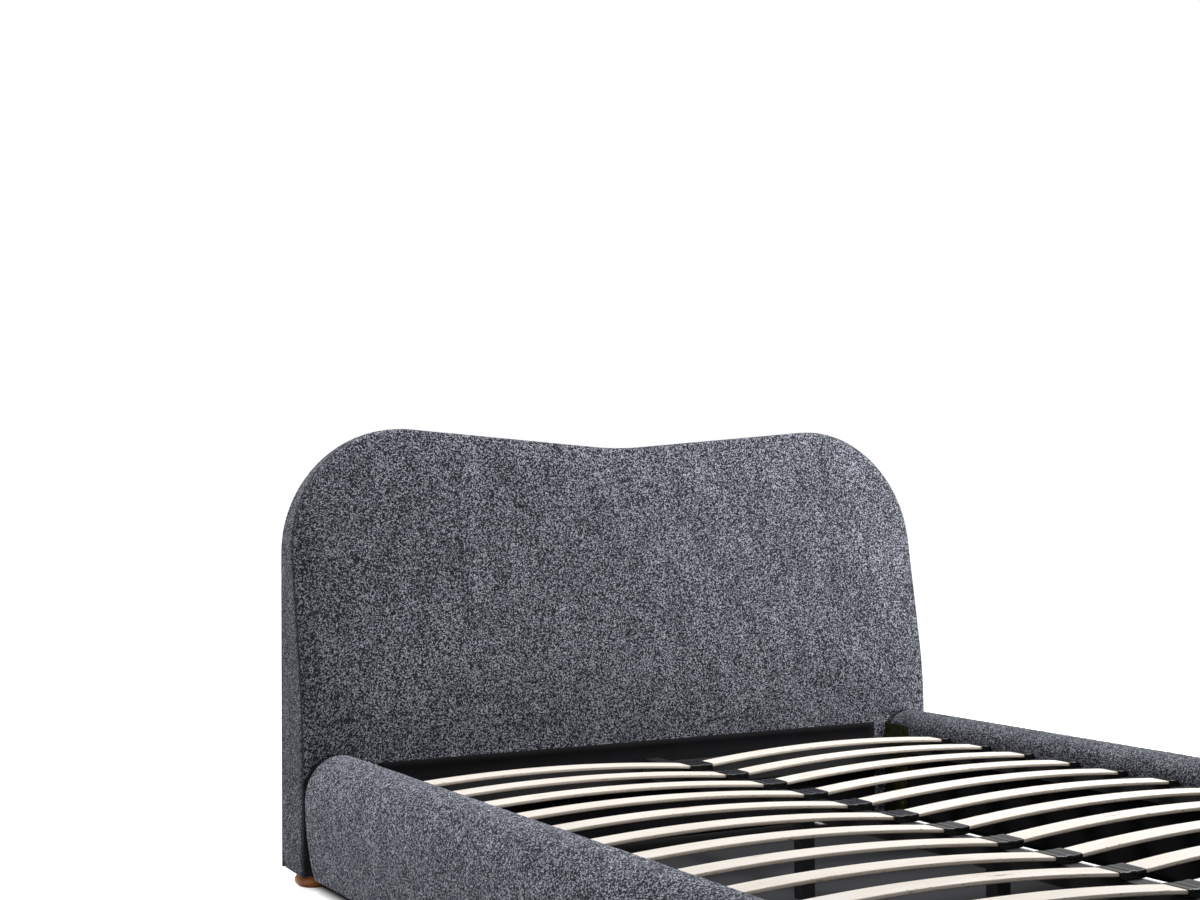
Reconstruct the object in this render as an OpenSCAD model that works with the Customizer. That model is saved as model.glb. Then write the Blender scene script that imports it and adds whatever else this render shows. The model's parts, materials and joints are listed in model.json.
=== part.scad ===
// Upholstered king-size bed with a two-shouldered, backward-leaning headboard,
// padded round-topped rails, a low padded footboard and two columns of sprung slats.
// Frame: origin on the floor under the middle of the bed, +Y towards the headboard,
// +X towards the right-hand rail seen from the foot end, +Z up. Millimetres.

/* [Overall] */
// Clear length between headboard and footboard
inner_l = 2010; // [1910:10:2110]
// Clear width between the side rails
inner_w = 1504; // [1364:10:1604]
// Height of the upholstery's lower edge above the floor
skirt_z = 32; // [25:1:60]

/* [Headboard] */
// Width of the headboard
head_w = 1776; // [1656:10:1876]
// Height of the two shoulders above the floor
head_h = 1056; // [900:1:1120]
// Thickness at the foot of the headboard
head_t = 158; // [152:1:180]
// Radius of the two shoulders
shoulder_r = 295; // [200:1:320]
// Fall of the top edge from a shoulder to the middle, in degrees
dip_angle = 4.65; // [1:0.05:6]
// Radius of the hollow in the middle of the top edge
dip_r = 900; // [400:10:1200]
// Height at which the front face starts to lean back
lean_start_z = 300; // [250:10:340]
// Height at which the front face has its full lean
lean_full_z = 500; // [450:10:560]
// Backward lean of the front face, in degrees
lean_angle = 9.8; // [6:0.1:9.8]

/* [Rails and footboard] */
// Thickness of a padded rail and of the footboard
rail_t = 143; // [130:1:155]
// Height of a padded rail above the floor
rail_h = 308; // [300:1:330]
// Distance from a rail's inner face to its crown
crown_in = 62; // [45:1:70]
// Depth of the rounding on a rail's inner side
crown_in_z = 40; // [30:1:50]
// Depth of the rounding on a rail's outer side
crown_out_z = 100; // [70:1:120]
// Inward slope of a rail's outer face at its lower edge
rail_tuck = 21; // [10:1:30]
// Radius of the footboard's corners in plan
foot_corner_r = 60; // [30:1:64]

/* [Slats] */
// Number of slat rows along the bed
slat_rows = 11; // [9:1:11]
// Distance from the headboard's face to the middle of the first row
first_row = 243; // [200:1:280]
// Distance from one row to the next
row_pitch = 155; // [140:1:160]
// Width of a slat
slat_w = 53; // [45:1:63]
// Thickness of a slat
slat_t = 8; // [6:0.5:10]
// Rise of a slat's bow
slat_bow = 17; // [8:1:22]
// Height of a slat's upper face at the centre rail
slat_inner_z = 253; // [245:1:254]
// Height of a slat's upper face at the side rail
slat_outer_z = 263; // [254:1:264]

/* [Feet and legs] */
// Diameter of a wooden bun foot
bun_d = 86; // [70:1:95]
// Distance of a foot's centre from the side of the headboard
bun_in = 45; // [44:1:60]
// Distance from the headboard's face back to its feet
bun_back = 68; // [60:1:80]
// Width of a square centre leg
leg_w = 32; // [28:1:40]
// Distance of a centre leg from the nearer board
leg_from_board = 690; // [600:1:800]
// Travel of a levelling glide
glide_travel = 12; // [6:1:12]

/* [Hidden] */

// Places along the bed
bed_l = inner_l + head_t + rail_t;
head_back_y = bed_l / 2;
head_face_y = head_back_y - head_t;
foot_face_y = head_face_y - inner_l;
foot_back_y = foot_face_y - rail_t;
inner_x = inner_w / 2;
outer_x = inner_x + rail_t;

// Layers of the upholstery and the boards
lining_t = 1.5;
pad_t = 20;
panel_t = 12;
band_t = 16;
back_t = 3;
board_t = 25;
board_top_z = 264;
board_bottom_z = 40;
gap = 0.3;
ledger_t = 30;
ledger_end = 10;
flap_h = 25;
steps = 14;
tuck_steps = 6;

// Headboard frame
beam_h = 60;
rib_w = 45;
rib_x = 735;
rib_top_z = 930;
top_rail_h = 60;
lining_in = 42;
lining_top_z = 280;
head_ledger_top_z = 225;
ledger_h = 60;

// Slats, their caps and what carries them
slat_inner_x = 6;
slat_outer_x = inner_x - 12;
cap_half = 31;
side_cap_l = 32;
cap_w = slat_w + 7;
cap_wall = 3;
cap_floor = 2;
cap_seat = 2;
cap_back = 3;
slat_play = 0.3;
pocket_over = 1.006;
slat_reach = slat_outer_x - slat_inner_x;
slat_tilt = atan((slat_outer_z - slat_inner_z) / slat_reach);
slat_chord = slat_reach / cos(slat_tilt);
slat_r = (pow(slat_chord / 2, 2) + pow(slat_bow, 2)) / (2 * slat_bow);
slat_sweep = asin(slat_chord / 2 / slat_r);
centre_rail_w = 40;
centre_rail_top_z = slat_inner_z - slat_t - cap_floor - cap_seat;
centre_rail_bottom_z = centre_rail_top_z - centre_rail_w;
side_ledger_top_z = slat_outer_z - slat_t - cap_floor - cap_seat;
side_ledger_h = 40;
tube_t = 2;
hanger_t = 3;
hanger_l = 50;

// Corner plates
plate_l = 94;
plate_t = 3;
plate_bottom_z = 42;
plate_top_z = 276;
tab_h = 40;
tab_z = [112, 208];
head_tab_l = 55;
foot_tab_l = 24;
tab_play = 1;
screw_r = 2.5;
screw_head_r = 5;
screw_head_h = 2.5;
screw_l = 22;
screw_at = [[22, 70], [72, 70], [22, 185], [72, 185]];

// Feet, centre legs and glides
bun_neck_d = 66;
bun_round_r = 14;
bun_x = head_w / 2 - bun_in;
head_bun_y = head_face_y + bun_back;
foot_bun_y = foot_face_y - rail_t / 2;
bolt_r = 4;
bolt_up = 30;
bolt_down = 22;
bore_play = 0.1;
foot_plate_w = 84;
foot_plate_h = 36;
foot_frame_end = 28;
glide_clear = 1;
glide_pad_r = 16;
glide_pad_h = 6;
glide_spare = 2;
leg_bottom_z = glide_clear + glide_pad_h + glide_travel + glide_spare;
leg_insert_h = 22;
leg_flange_l = 90;
glide_stem_r = 5;
glide_play = 0.05;
glide_stem_top_z = 50;
head_leg_y = head_face_y - leg_from_board;
foot_leg_y = foot_face_y + leg_from_board;

function row_y(row) = head_face_y - first_row - (row - 1) * row_pitch;
function two_digits(n) = n < 10 ? str("0", n) : str(n);
function slat_name(side, row) = str("slat_", side, "_", two_digits(row));

// Upholstery blue-grey, birch, black steel and plastic, honey-brown beech
fabric = [0.36, 0.39, 0.45];
birch = [0.88, 0.83, 0.74];
timber = [0.72, 0.56, 0.38];
black = [0.06, 0.06, 0.07];
beech = [0.62, 0.36, 0.17];
olive = [0.22, 0.22, 0.10];
zinc = [0.70, 0.70, 0.68];

// ---- Outlines ----

// Half of the headboard's outline, inset by d, from the lower outer corner over
// the shoulder to the middle of the top edge: [x, z] points.
function half_outline(d) =
    let (cx = head_w / 2 - shoulder_r, cz = head_h - shoulder_r, r = shoulder_r - d)
    let (run = cx - (shoulder_r + dip_r) * sin(dip_angle))
    let (dip_z = cz + (shoulder_r + dip_r) * cos(dip_angle) - run * tan(dip_angle))
    concat(
        [[head_w / 2 - d, skirt_z]],
        [for (i = [0 : steps]) let (a = i * (90 + dip_angle) / steps)
            [cx + r * cos(a), cz + r * sin(a)]],
        [for (i = [0 : 3]) let (a = dip_angle * (1 - i / 3))
            [(dip_r + d) * sin(a), dip_z - (dip_r + d) * cos(a)]]
    );

// The whole outline, closed along the lower edge.
function head_outline(d) =
    let (half = half_outline(d), n = len(half))
    concat(half, [for (i = [n - 2 : -1 : 0]) [-half[i][0], half[i][1]]]);

// How far the front face has leant back at height z.
function lean(z) =
    let (slope = tan(lean_angle), bend = lean_full_z - lean_start_z)
    z < lean_start_z ? 0
        : z < lean_full_z ? slope * pow(z - lean_start_z, 2) / (2 * bend)
        : slope * (z - lean_start_z - bend / 2);

// [y, z] points up the front face, moved back by depth.
function face_line(depth) =
    let (bend = lean_full_z - lean_start_z)
    concat(
        [[head_face_y + depth, skirt_z - 1]],
        [for (i = [0 : 5]) let (z = lean_start_z + bend * i / 5)
            [head_face_y + depth + lean(z), z]],
        [[head_face_y + depth + lean(head_h + 1), head_h + 1]]
    );

function reversed(list) = [for (i = [len(list) - 1 : -1 : 0]) list[i]];

// Section of a padded rail: u from the inner face outwards, z up.
function rail_section() =
    let (out = rail_t - crown_in, in_cz = rail_h - crown_in_z, out_cz = rail_h - crown_out_z)
    concat(
        [[0, skirt_z]],
        [for (i = [0 : steps]) let (a = 180 - 90 * i / steps)
            [crown_in + crown_in * cos(a), in_cz + crown_in_z * sin(a)]],
        [for (i = [1 : steps]) let (a = 90 - 90 * i / steps)
            [crown_in + out * cos(a), out_cz + crown_out_z * sin(a)]],
        [for (i = [1 : tuck_steps]) let (t = i / tuck_steps)
            [rail_t - rail_tuck * t * t, out_cz - (out_cz - skirt_z) * t]]
    );

// ---- Helpers ----

// Extrudes an [x, z] outline along Y from y0 to y1.
module along_y(y0, y1) {
    translate([0, y1, 0])
        rotate([90, 0, 0])
            linear_extrude(y1 - y0)
                children();
}

// Extrudes a [y, z] outline along X from x0 to x1.
module along_x(x0, x1) {
    translate([x0, 0, 0])
        rotate([90, 0, 90])
            linear_extrude(x1 - x0)
                children();
}

// A box between two corners.
module block(low, high) {
    translate(low)
        cube(high - low);
}

// Draws its children on the right, or mirrored on the left.
module on_side(side) {
    mirror([side == "left" ? 1 : 0, 0, 0])
        children();
}

// Turns a head-end shape end for end, so that it stands at the foot.
module at_foot() {
    translate([0, head_face_y + foot_face_y, 0])
        mirror([0, 1, 0])
            children();
}

// The layer of the headboard between two depths behind its front face.
module face_layer(depth0, depth1, inset) {
    intersection() {
        along_y(head_face_y - 1, head_back_y)
            polygon(head_outline(inset));
        along_x(-head_w, head_w)
            polygon(concat(face_line(depth0), reversed(face_line(depth1))));
    }
}

// The slots that the corner plates' tabs pass through.
module tab_slots(length) {
    for (side = ["left", "right"])
        on_side(side)
            for (z = tab_z)
                block([inner_x - lining_t - plate_t - tab_play, head_face_y - 1, z - tab_play],
                      [inner_x - lining_t + tab_play, head_face_y + length + tab_play, z + tab_h + tab_play]);
}

// ---- Headboard ----

module head_bottom_beam() {
    color(timber)
        difference() {
            block([-head_w / 2 + band_t + gap, head_face_y + pad_t + panel_t + gap, skirt_z],
                  [head_w / 2 - band_t - gap, head_back_y - back_t - gap, skirt_z + beam_h]);
            for (side = ["left", "right"])
                on_side(side)
                    foot_bolt_hole(bun_x, head_bun_y, skirt_z);
        }
}

module head_top_rail() {
    y_front = head_face_y + pad_t + panel_t + gap + lean(rib_top_z);
    color(timber)
        block([-rib_x + gap, y_front, rib_top_z - top_rail_h],
              [rib_x - gap, head_back_y - back_t - gap, rib_top_z]);
}

// A wedge-shaped rib, upright at the back and leaning at the front.
module head_rib(side) {
    depth = pad_t + panel_t + gap;
    back_y = head_back_y - back_t - gap;
    color(timber)
        on_side(side)
            difference() {
                intersection() {
                    along_x(rib_x, rib_x + rib_w)
                        polygon(concat(face_line(depth), [[back_y, head_h], [back_y, 0]]));
                    block([rib_x, head_face_y, skirt_z + beam_h + gap],
                          [rib_x + rib_w, head_back_y, rib_top_z]);
                }
                tab_slots(head_tab_l);
            }
}

module headboard_panel() {
    color(timber)
        difference() {
            face_layer(pad_t, pad_t + panel_t, band_t + gap);
            tab_slots(head_tab_l);
        }
}

module headboard_front_pad() {
    color(fabric)
        difference() {
            face_layer(0, pad_t - gap, 0);
            tab_slots(head_tab_l);
        }
}

// The band round the headboard's sides and top, open below.
module headboard_side_band() {
    color(fabric)
        difference() {
            face_layer(pad_t, head_t - back_t + lean(head_h), 0);
            along_y(head_face_y - 1, head_back_y + 1)
                polygon(concat([[head_w / 2 - band_t, 0]], head_outline(band_t),
                               [[-head_w / 2 + band_t, 0]]));
            block([-head_w, head_back_y - back_t, 0], [head_w, head_back_y + 1, head_h + 1]);
        }
}

module headboard_back_cover() {
    color(fabric)
        along_y(head_back_y - back_t + gap, head_back_y)
            polygon(head_outline(0));
}

module headboard_lining() {
    half = inner_x - lining_in;
    color(black)
        block([-half, head_face_y - lining_t, skirt_z + 1], [half, head_face_y, lining_top_z]);
}

// A batten across the head end that carries the centre rail.
module head_ledger() {
    half = inner_x - ledger_end;
    y = head_face_y - lining_t;
    color(black)
        block([-half, y - ledger_t, head_ledger_top_z - ledger_h], [half, y, head_ledger_top_z]);
}

// ---- Side rails ----

module side_rail(side) {
    x = inner_x + lining_t;
    color(timber)
        on_side(side)
            difference() {
                block([x, foot_face_y + gap, board_bottom_z], [x + board_t, head_face_y - gap, board_top_z]);
                plate_screw_holes();
                at_foot()
                    plate_screw_holes();
            }
}

// Foam and fabric over the board: the flap at the inner face hides the lining's edge.
module rail_cover(side) {
    flap_z = board_top_z - flap_h;
    color(fabric)
        on_side(side)
            difference() {
                along_y(foot_face_y + gap, head_face_y - gap)
                    translate([inner_x, 0])
                        polygon(rail_section());
                block([inner_x + lining_t - gap, foot_face_y - 1, 0],
                      [inner_x + lining_t + board_t + gap, head_face_y + 1, board_top_z + gap]);
                block([inner_x - 1, foot_face_y - 1, 0], [inner_x + lining_t, head_face_y + 1, flap_z]);
                for (end = [head_face_y - plate_l - 1, foot_face_y - 1])
                    block([inner_x - 1, end, 0], [inner_x + lining_t, end + plate_l + 2, board_top_z]);
            }
}

module side_ledger(side) {
    x = inner_x - ledger_t;
    color(black)
        on_side(side)
            block([x, foot_face_y + plate_l + ledger_end, side_ledger_top_z - side_ledger_h],
                  [inner_x, head_face_y - plate_l - ledger_end, side_ledger_top_z]);
}

// ---- Footboard ----

// A plank along the inner face, glued to a plate that the feet screw into.
module footboard_frame() {
    half = outer_x - foot_frame_end;
    y = foot_face_y - lining_t;
    color(timber)
        difference() {
            union() {
                block([-half, y - board_t, board_bottom_z], [half, y, board_top_z]);
                block([-half, y - foot_plate_w, skirt_z], [half, y, skirt_z + foot_plate_h]);
            }
            at_foot()
                tab_slots(foot_tab_l);
            for (side = ["left", "right"])
                on_side(side)
                    foot_bolt_hole(bun_x, foot_bun_y, skirt_z);
        }
}

module footboard_cover() {
    half = outer_x - foot_frame_end + gap;
    y = foot_face_y - lining_t + gap;
    color(fabric)
        difference() {
            intersection() {
                translate([0, foot_face_y, 0])
                    mirror([0, 1, 0])
                        along_x(-outer_x, outer_x)
                            polygon(rail_section());
                foot_plan();
            }
            block([-half, y - board_t - 2 * gap, 0], [half, y, board_top_z + gap]);
            block([-half, y - foot_plate_w - 2 * gap, 0], [half, y, skirt_z + foot_plate_h + gap]);
            block([-inner_x, y - 1, 0], [inner_x, foot_face_y + 1, board_top_z - flap_h]);
            at_foot()
                tab_slots(foot_tab_l);
        }
}

// The footboard seen from above, with its two outer corners rounded.
module foot_plan() {
    translate([0, 0, skirt_z - 1])
        linear_extrude(rail_h)
            union() {
                translate([-outer_x, foot_back_y + foot_corner_r])
                    square([2 * outer_x, rail_t - foot_corner_r]);
                translate([-outer_x + foot_corner_r, foot_back_y])
                    square([2 * (outer_x - foot_corner_r), rail_t]);
                for (x = [-1, 1])
                    translate([x * (outer_x - foot_corner_r), foot_back_y + foot_corner_r])
                        circle(foot_corner_r, $fn = 64);
            }
}

module foot_ledger() {
    half = inner_x - ledger_end;
    y = foot_face_y;
    color(black)
        block([-half, y, head_ledger_top_z - ledger_h], [half, y + ledger_t, head_ledger_top_z]);
}

// Black non-woven strips on the inner faces of the two rails and the footboard.
module inner_linings() {
    top_z = board_top_z - flap_h - 1;
    color(black) {
        for (side = ["left", "right"])
            on_side(side)
                block([inner_x, foot_face_y + plate_l + 1, skirt_z + 1],
                      [inner_x + lining_t - gap, head_face_y - plate_l - 1, top_z]);
        block([-inner_x + lining_in, foot_face_y - lining_t + gap, skirt_z + 1],
              [inner_x - lining_in, foot_face_y, top_z]);
    }
}

// ---- Corner plates ----

// A steel plate on the rail's inner face with two tabs that enter the headboard.
module plate_at_head(tab_l) {
    x = inner_x - lining_t;
    start_y = head_face_y - plate_l;
    end_y = head_face_y - gap;
    difference() {
        union() {
            block([x - plate_t, start_y, plate_bottom_z], [x, end_y, plate_top_z]);
            block([x, start_y, plate_bottom_z], [inner_x + lining_t - gap, end_y, board_top_z - 1]);
            for (z = tab_z)
                block([x - plate_t, head_face_y - 1, z], [x, head_face_y + tab_l, z + tab_h]);
        }
        for (at = screw_at)
            translate([x - plate_t - 1, head_face_y - at[0], at[1]])
                rotate([0, 90, 0])
                    cylinder(h = plate_t + 3 * lining_t, r = screw_r + bore_play, $fn = 32);
    }
}

module corner_plate(end, side) {
    color(olive)
        on_side(side)
            if (end == "head")
                plate_at_head(head_tab_l);
            else
                at_foot()
                    plate_at_head(foot_tab_l);
}

// Holes in the side rail's board for one plate's screws.
module plate_screw_holes() {
    for (at = screw_at)
        translate([inner_x, head_face_y - at[0], at[1]])
            rotate([0, 90, 0])
                cylinder(h = screw_l, r = screw_r + bore_play, $fn = 32);
}

// The screws of one plate, heads on its inner face.
module plate_screw_set() {
    for (at = screw_at)
        translate([inner_x - lining_t - plate_t, head_face_y - at[0], at[1]]) {
            rotate([0, 90, 0])
                cylinder(h = screw_l, r = screw_r, $fn = 32);
            translate([-screw_head_h, 0, 0])
                rotate([0, 90, 0])
                    cylinder(h = screw_head_h, r = screw_head_r, $fn = 32);
        }
}

module plate_screws() {
    color(zinc)
        for (side = ["left", "right"])
            on_side(side) {
                plate_screw_set();
                at_foot()
                    plate_screw_set();
            }
}

// ---- Centre rail and legs ----

module centre_rail() {
    half = centre_rail_w / 2;
    y0 = foot_face_y + ledger_t + hanger_t + gap;
    y1 = head_face_y - lining_t - ledger_t - hanger_t - gap;
    color(black)
        difference() {
            block([-half, y0, centre_rail_bottom_z], [half, y1, centre_rail_top_z]);
            block([-half + tube_t, y0 - 1, centre_rail_bottom_z + tube_t],
                  [half - tube_t, y1 + 1, centre_rail_top_z - tube_t]);
        }
}

// A folded steel stirrup on a ledger's face that the rail's end sits in.
module hanger(face_y) {
    half = centre_rail_w / 2 + gap;
    low = centre_rail_bottom_z - gap;
    high = head_ledger_top_z;
    difference() {
        block([-half - hanger_t, face_y - hanger_l, low - hanger_t], [half + hanger_t, face_y, high]);
        block([-half, face_y - hanger_l - 1, low], [half, face_y - hanger_t, high + 1]);
    }
}

module centre_rail_hangers() {
    color(zinc) {
        hanger(head_face_y - lining_t - ledger_t);
        at_foot()
            hanger(head_face_y - ledger_t);
    }
}

// A square tube with a flange above and a threaded plug in its lower end.
module centre_leg(y) {
    half = leg_w / 2;
    top_z = centre_rail_bottom_z;
    insert_z = leg_bottom_z + leg_insert_h;
    bore = half - tube_t;
    color(black)
        difference() {
            union() {
                block([-half, y - half, leg_bottom_z], [half, y + half, top_z - plate_t]);
                block([-centre_rail_w / 2, y - leg_flange_l / 2, top_z - plate_t],
                      [centre_rail_w / 2, y + leg_flange_l / 2, top_z]);
            }
            block([-bore, y - bore, insert_z], [bore, y + bore, top_z - plate_t]);
            translate([0, y, leg_bottom_z - 1])
                cylinder(h = leg_insert_h + 2, r = glide_stem_r + glide_play, $fn = 48);
        }
}

module centre_glide(y) {
    color(zinc)
        translate([0, y, glide_clear]) {
            cylinder(h = glide_pad_h, r = glide_pad_r, $fn = 64);
            cylinder(h = glide_stem_top_z - glide_clear, r = glide_stem_r, $fn = 48);
        }
}

// ---- Feet ----

module foot_bolt_hole(x, y, z) {
    translate([x, y, z - 1])
        cylinder(h = bolt_up + 2, r = bolt_r + bore_play, $fn = 32);
}

// A turned bun foot: a flat top, full sides and a rounded lower edge.
module bun_foot(x, y) {
    top_r = bun_neck_d / 2;
    round_r = bun_round_r;
    waist = bun_d / 2;
    color(beech)
        translate([x, y, 0])
            difference() {
                rotate_extrude($fn = 72)
                    polygon(concat(
                        [[0, 0], [waist - round_r, 0]],
                        [for (i = [1 : 6]) let (a = -90 + 90 * i / 6)
                            [waist - round_r + round_r * cos(a), round_r + round_r * sin(a)]],
                        [for (i = [1 : 6]) let (a = 90 * i / 6)
                            [top_r + (waist - top_r) * cos(a), round_r + (skirt_z - gap - round_r) * sin(a)]],
                        [[0, skirt_z - gap]]));
                translate([0, 0, skirt_z - bolt_down - 1])
                    cylinder(h = bolt_down + 2, r = bolt_r + bore_play, $fn = 32);
            }
}

module foot_bolts() {
    color(zinc)
        for (x = [-bun_x, bun_x], y = [head_bun_y, foot_bun_y])
            translate([x, y, skirt_z - bolt_down])
                cylinder(h = bolt_down + bolt_up, r = bolt_r, $fn = 32);
}

// ---- Slats and caps ----

// The arc of a slat, thickened or thinned by play, between two fractions of its length.
module slat_profile(play, low, high) {
    mid_x = (slat_inner_x + slat_outer_x) / 2;
    mid_z = (slat_inner_z + slat_outer_z) / 2 + slat_bow;
    arc_steps = 20;
    over = slat_r + play;
    under = slat_r - slat_t - play;
    translate([mid_x, mid_z])
        rotate(slat_tilt)
            translate([0, -slat_r])
                polygon(concat(
                    [for (i = [0 : arc_steps]) let (a = low + (high - low) * i / arc_steps)
                        over * [sin(slat_sweep * a), cos(slat_sweep * a)]],
                    [for (i = [arc_steps : -1 : 0]) let (a = low + (high - low) * i / arc_steps)
                        under * [sin(slat_sweep * a), cos(slat_sweep * a)]]));
}

module slat(side, row) {
    y = row_y(row);
    color(birch)
        on_side(side)
            along_y(y - slat_w / 2, y + slat_w / 2)
                slat_profile(0, -1, 1);
}

// The pocket that a slat's end slides into.
module slat_pocket(y) {
    half = slat_w / 2 + slat_play;
    along_y(y - half, y + half)
        slat_profile(slat_play, -pocket_over, pocket_over);
}

// Double caps on the centre rail, one to a row.
module slat_centre_caps() {
    half = cap_w / 2;
    color(black)
        for (row = [1 : slat_rows])
            difference() {
                block([-cap_half, row_y(row) - half, centre_rail_top_z],
                      [cap_half, row_y(row) + half, slat_inner_z + cap_wall]);
                for (side = ["left", "right"])
                    on_side(side)
                        slat_pocket(row_y(row));
            }
}

// Single caps on the side ledgers, two to a row.
module slat_side_caps() {
    half = cap_w / 2;
    color(black)
        for (row = [1 : slat_rows], side = ["left", "right"])
            on_side(side)
                difference() {
                    block([inner_x - side_cap_l, row_y(row) - half, side_ledger_top_z],
                          [inner_x - cap_back, row_y(row) + half, slat_outer_z + cap_wall + 1]);
                    slat_pocket(row_y(row));
                }
}

// ---- Assembly ----

head_bottom_beam();
head_top_rail();
head_rib("left");  // head_rib_left
head_rib("right");  // head_rib_right
headboard_panel();
headboard_front_pad();
headboard_side_band();
headboard_back_cover();
headboard_lining();
head_ledger();
side_rail("left");  // side_rail_left
side_rail("right");  // side_rail_right
rail_cover("left");  // rail_cover_left
rail_cover("right");  // rail_cover_right
side_ledger("left");  // side_ledger_left
side_ledger("right");  // side_ledger_right
footboard_frame();
footboard_cover();
foot_ledger();
inner_linings();
corner_plate("head", "left");  // corner_plate_head_left
corner_plate("head", "right");  // corner_plate_head_right
corner_plate("foot", "left");  // corner_plate_foot_left
corner_plate("foot", "right");  // corner_plate_foot_right
plate_screws();
centre_rail();
centre_rail_hangers();
centre_leg(head_leg_y);  // centre_leg_head
centre_leg(foot_leg_y);  // centre_leg_foot
centre_glide(head_leg_y);  // centre_glide_head
centre_glide(foot_leg_y);  // centre_glide_foot
bun_foot(-bun_x, head_bun_y);  // bun_foot_head_left
bun_foot(bun_x, head_bun_y);  // bun_foot_head_right
bun_foot(-bun_x, foot_bun_y);  // bun_foot_foot_left
bun_foot(bun_x, foot_bun_y);  // bun_foot_foot_right
foot_bolts();
slat_side_caps();
slat_centre_caps();
for (side = ["left", "right"], row = [1 : slat_rows])
    slat(side, row);
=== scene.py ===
import json
import math

import bmesh
import bpy
import numpy as np
from mathutils import Matrix, Vector


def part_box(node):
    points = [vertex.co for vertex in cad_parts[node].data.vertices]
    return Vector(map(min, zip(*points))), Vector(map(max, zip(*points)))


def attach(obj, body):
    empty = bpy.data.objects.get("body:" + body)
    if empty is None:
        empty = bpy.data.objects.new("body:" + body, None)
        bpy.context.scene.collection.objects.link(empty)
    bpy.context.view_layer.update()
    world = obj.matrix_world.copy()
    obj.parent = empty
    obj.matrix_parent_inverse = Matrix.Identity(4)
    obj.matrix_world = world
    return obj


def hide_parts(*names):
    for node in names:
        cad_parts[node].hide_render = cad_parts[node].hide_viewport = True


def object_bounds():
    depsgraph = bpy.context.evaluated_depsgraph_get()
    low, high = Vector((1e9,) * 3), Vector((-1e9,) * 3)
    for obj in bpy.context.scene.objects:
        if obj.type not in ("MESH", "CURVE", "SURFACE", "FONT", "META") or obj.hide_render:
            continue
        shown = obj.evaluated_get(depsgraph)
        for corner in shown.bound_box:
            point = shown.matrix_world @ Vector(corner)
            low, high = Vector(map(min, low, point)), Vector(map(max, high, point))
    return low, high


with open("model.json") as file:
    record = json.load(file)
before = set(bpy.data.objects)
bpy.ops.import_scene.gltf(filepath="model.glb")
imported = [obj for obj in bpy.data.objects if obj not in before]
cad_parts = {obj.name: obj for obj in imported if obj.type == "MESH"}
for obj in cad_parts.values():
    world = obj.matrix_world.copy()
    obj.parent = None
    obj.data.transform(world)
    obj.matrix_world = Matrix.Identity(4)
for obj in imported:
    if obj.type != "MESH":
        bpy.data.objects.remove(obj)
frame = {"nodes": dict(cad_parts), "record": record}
cad_low, cad_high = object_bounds()
scene = bpy.context.scene
rng = np.random.default_rng(11)

# ---- Sizes in metres: places from the frame, shape constants as the CAD has them ----
pad_low, pad_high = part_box("headboard_front_pad")
rail_low, rail_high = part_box("rail_cover_right")
HALF_HEAD = pad_high.x
HEAD_H = pad_high.z
SKIRT_Z = pad_low.z
FACE_Y = pad_low.y
BACK_Y = cad_high.y
FOOT_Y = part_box("foot_ledger")[0].y
FOOT_BACK_Y = cad_low.y
INNER_X = rail_low.x
OUTER_X = rail_high.x
RAIL_H = rail_high.z
RAIL_T = OUTER_X - INNER_X
GAP = 0.0003

SHOULDER_R = 0.295
SHOULDER_X = HALF_HEAD - SHOULDER_R
SHOULDER_Z = HEAD_H - SHOULDER_R
DIP = math.radians(4.65)
DIP_R = 0.900
LEAN_START_Z = 0.300
LEAN_FULL_Z = 0.500
LEAN_SLOPE = math.tan(math.radians(9.8))
PAD_T = 0.020
BAND_T = 0.016
BACK_T = 0.003

CROWN_IN = 0.062
CROWN_IN_Z = 0.040
CROWN_OUT_Z = 0.100
RAIL_TUCK = 0.021
FLAP_Z = 0.239
LINING_T = 0.0015
BOARD_T = 0.025
BOARD_TOP_Z = 0.264
FOOT_PLATE_W = 0.084
FOOT_PLATE_H = 0.036
FOOT_CORNER_R = 0.060

SLAT_ROWS = 11
SLAT_W = 0.053
SLAT_T = 0.008
SLAT_BOW = 0.017
SLAT_EDGE_R = 0.0022
SLAT_INNER_X = 0.006
SLAT_OUTER_X = INNER_X - 0.012
SLAT_INNER_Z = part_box("slat_centre_caps")[1].z - 0.003
SLAT_OUTER_Z = 0.263
FIRST_ROW = 0.243
ROW_PITCH = 0.155
CAP_W = 0.060
CAP_R = 0.0022

# Cloth: how firmly foam holds it, the pressure in it, how far it may swell and its slack.
SOFT = 0.45
PRESSURE = 6.0
SWELL = 0.005
BAND_SWELL = 0.004
HEAD_SLACK = 0.004
RAIL_SLACK = 0.006

# Fabric pattern: size and drift of its nubs, how strongly painted side light changes it, and how dark painted
# shade makes seams and gaps.
NUB_W = 0.0026
NUB_H = 0.0023
NUB_DRIFT = 0.0011
SIDE_LIGHT_EFFECT = 0.3
SEAM_SHADE = 0.93

# Floor: where its painted shadow under the bed ends inside the bed's edges and past its back, and its glow.
SHADE_IN = 0.07
SHADE_BACK = -0.015
SHADE_FADE = 0.05
FLOOR_GLOW = 0.80


# ---- Mesh helpers ----

def piece(name, points, faces, material):
    """A mesh object from points and faces, with outward normals and one material."""
    mesh = bpy.data.meshes.new(name)
    mesh.from_pydata(np.asarray(points, float).reshape(-1, 3).tolist(), [], faces)
    fix = bmesh.new()
    fix.from_mesh(mesh)
    bmesh.ops.recalc_face_normals(fix, faces=fix.faces)
    fix.to_mesh(mesh)
    fix.free()
    mesh.polygons.foreach_set("use_smooth", [True] * len(mesh.polygons))
    mesh.materials.append(material)
    obj = bpy.data.objects.new(name, mesh)
    scene.collection.objects.link(obj)
    return obj


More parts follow.
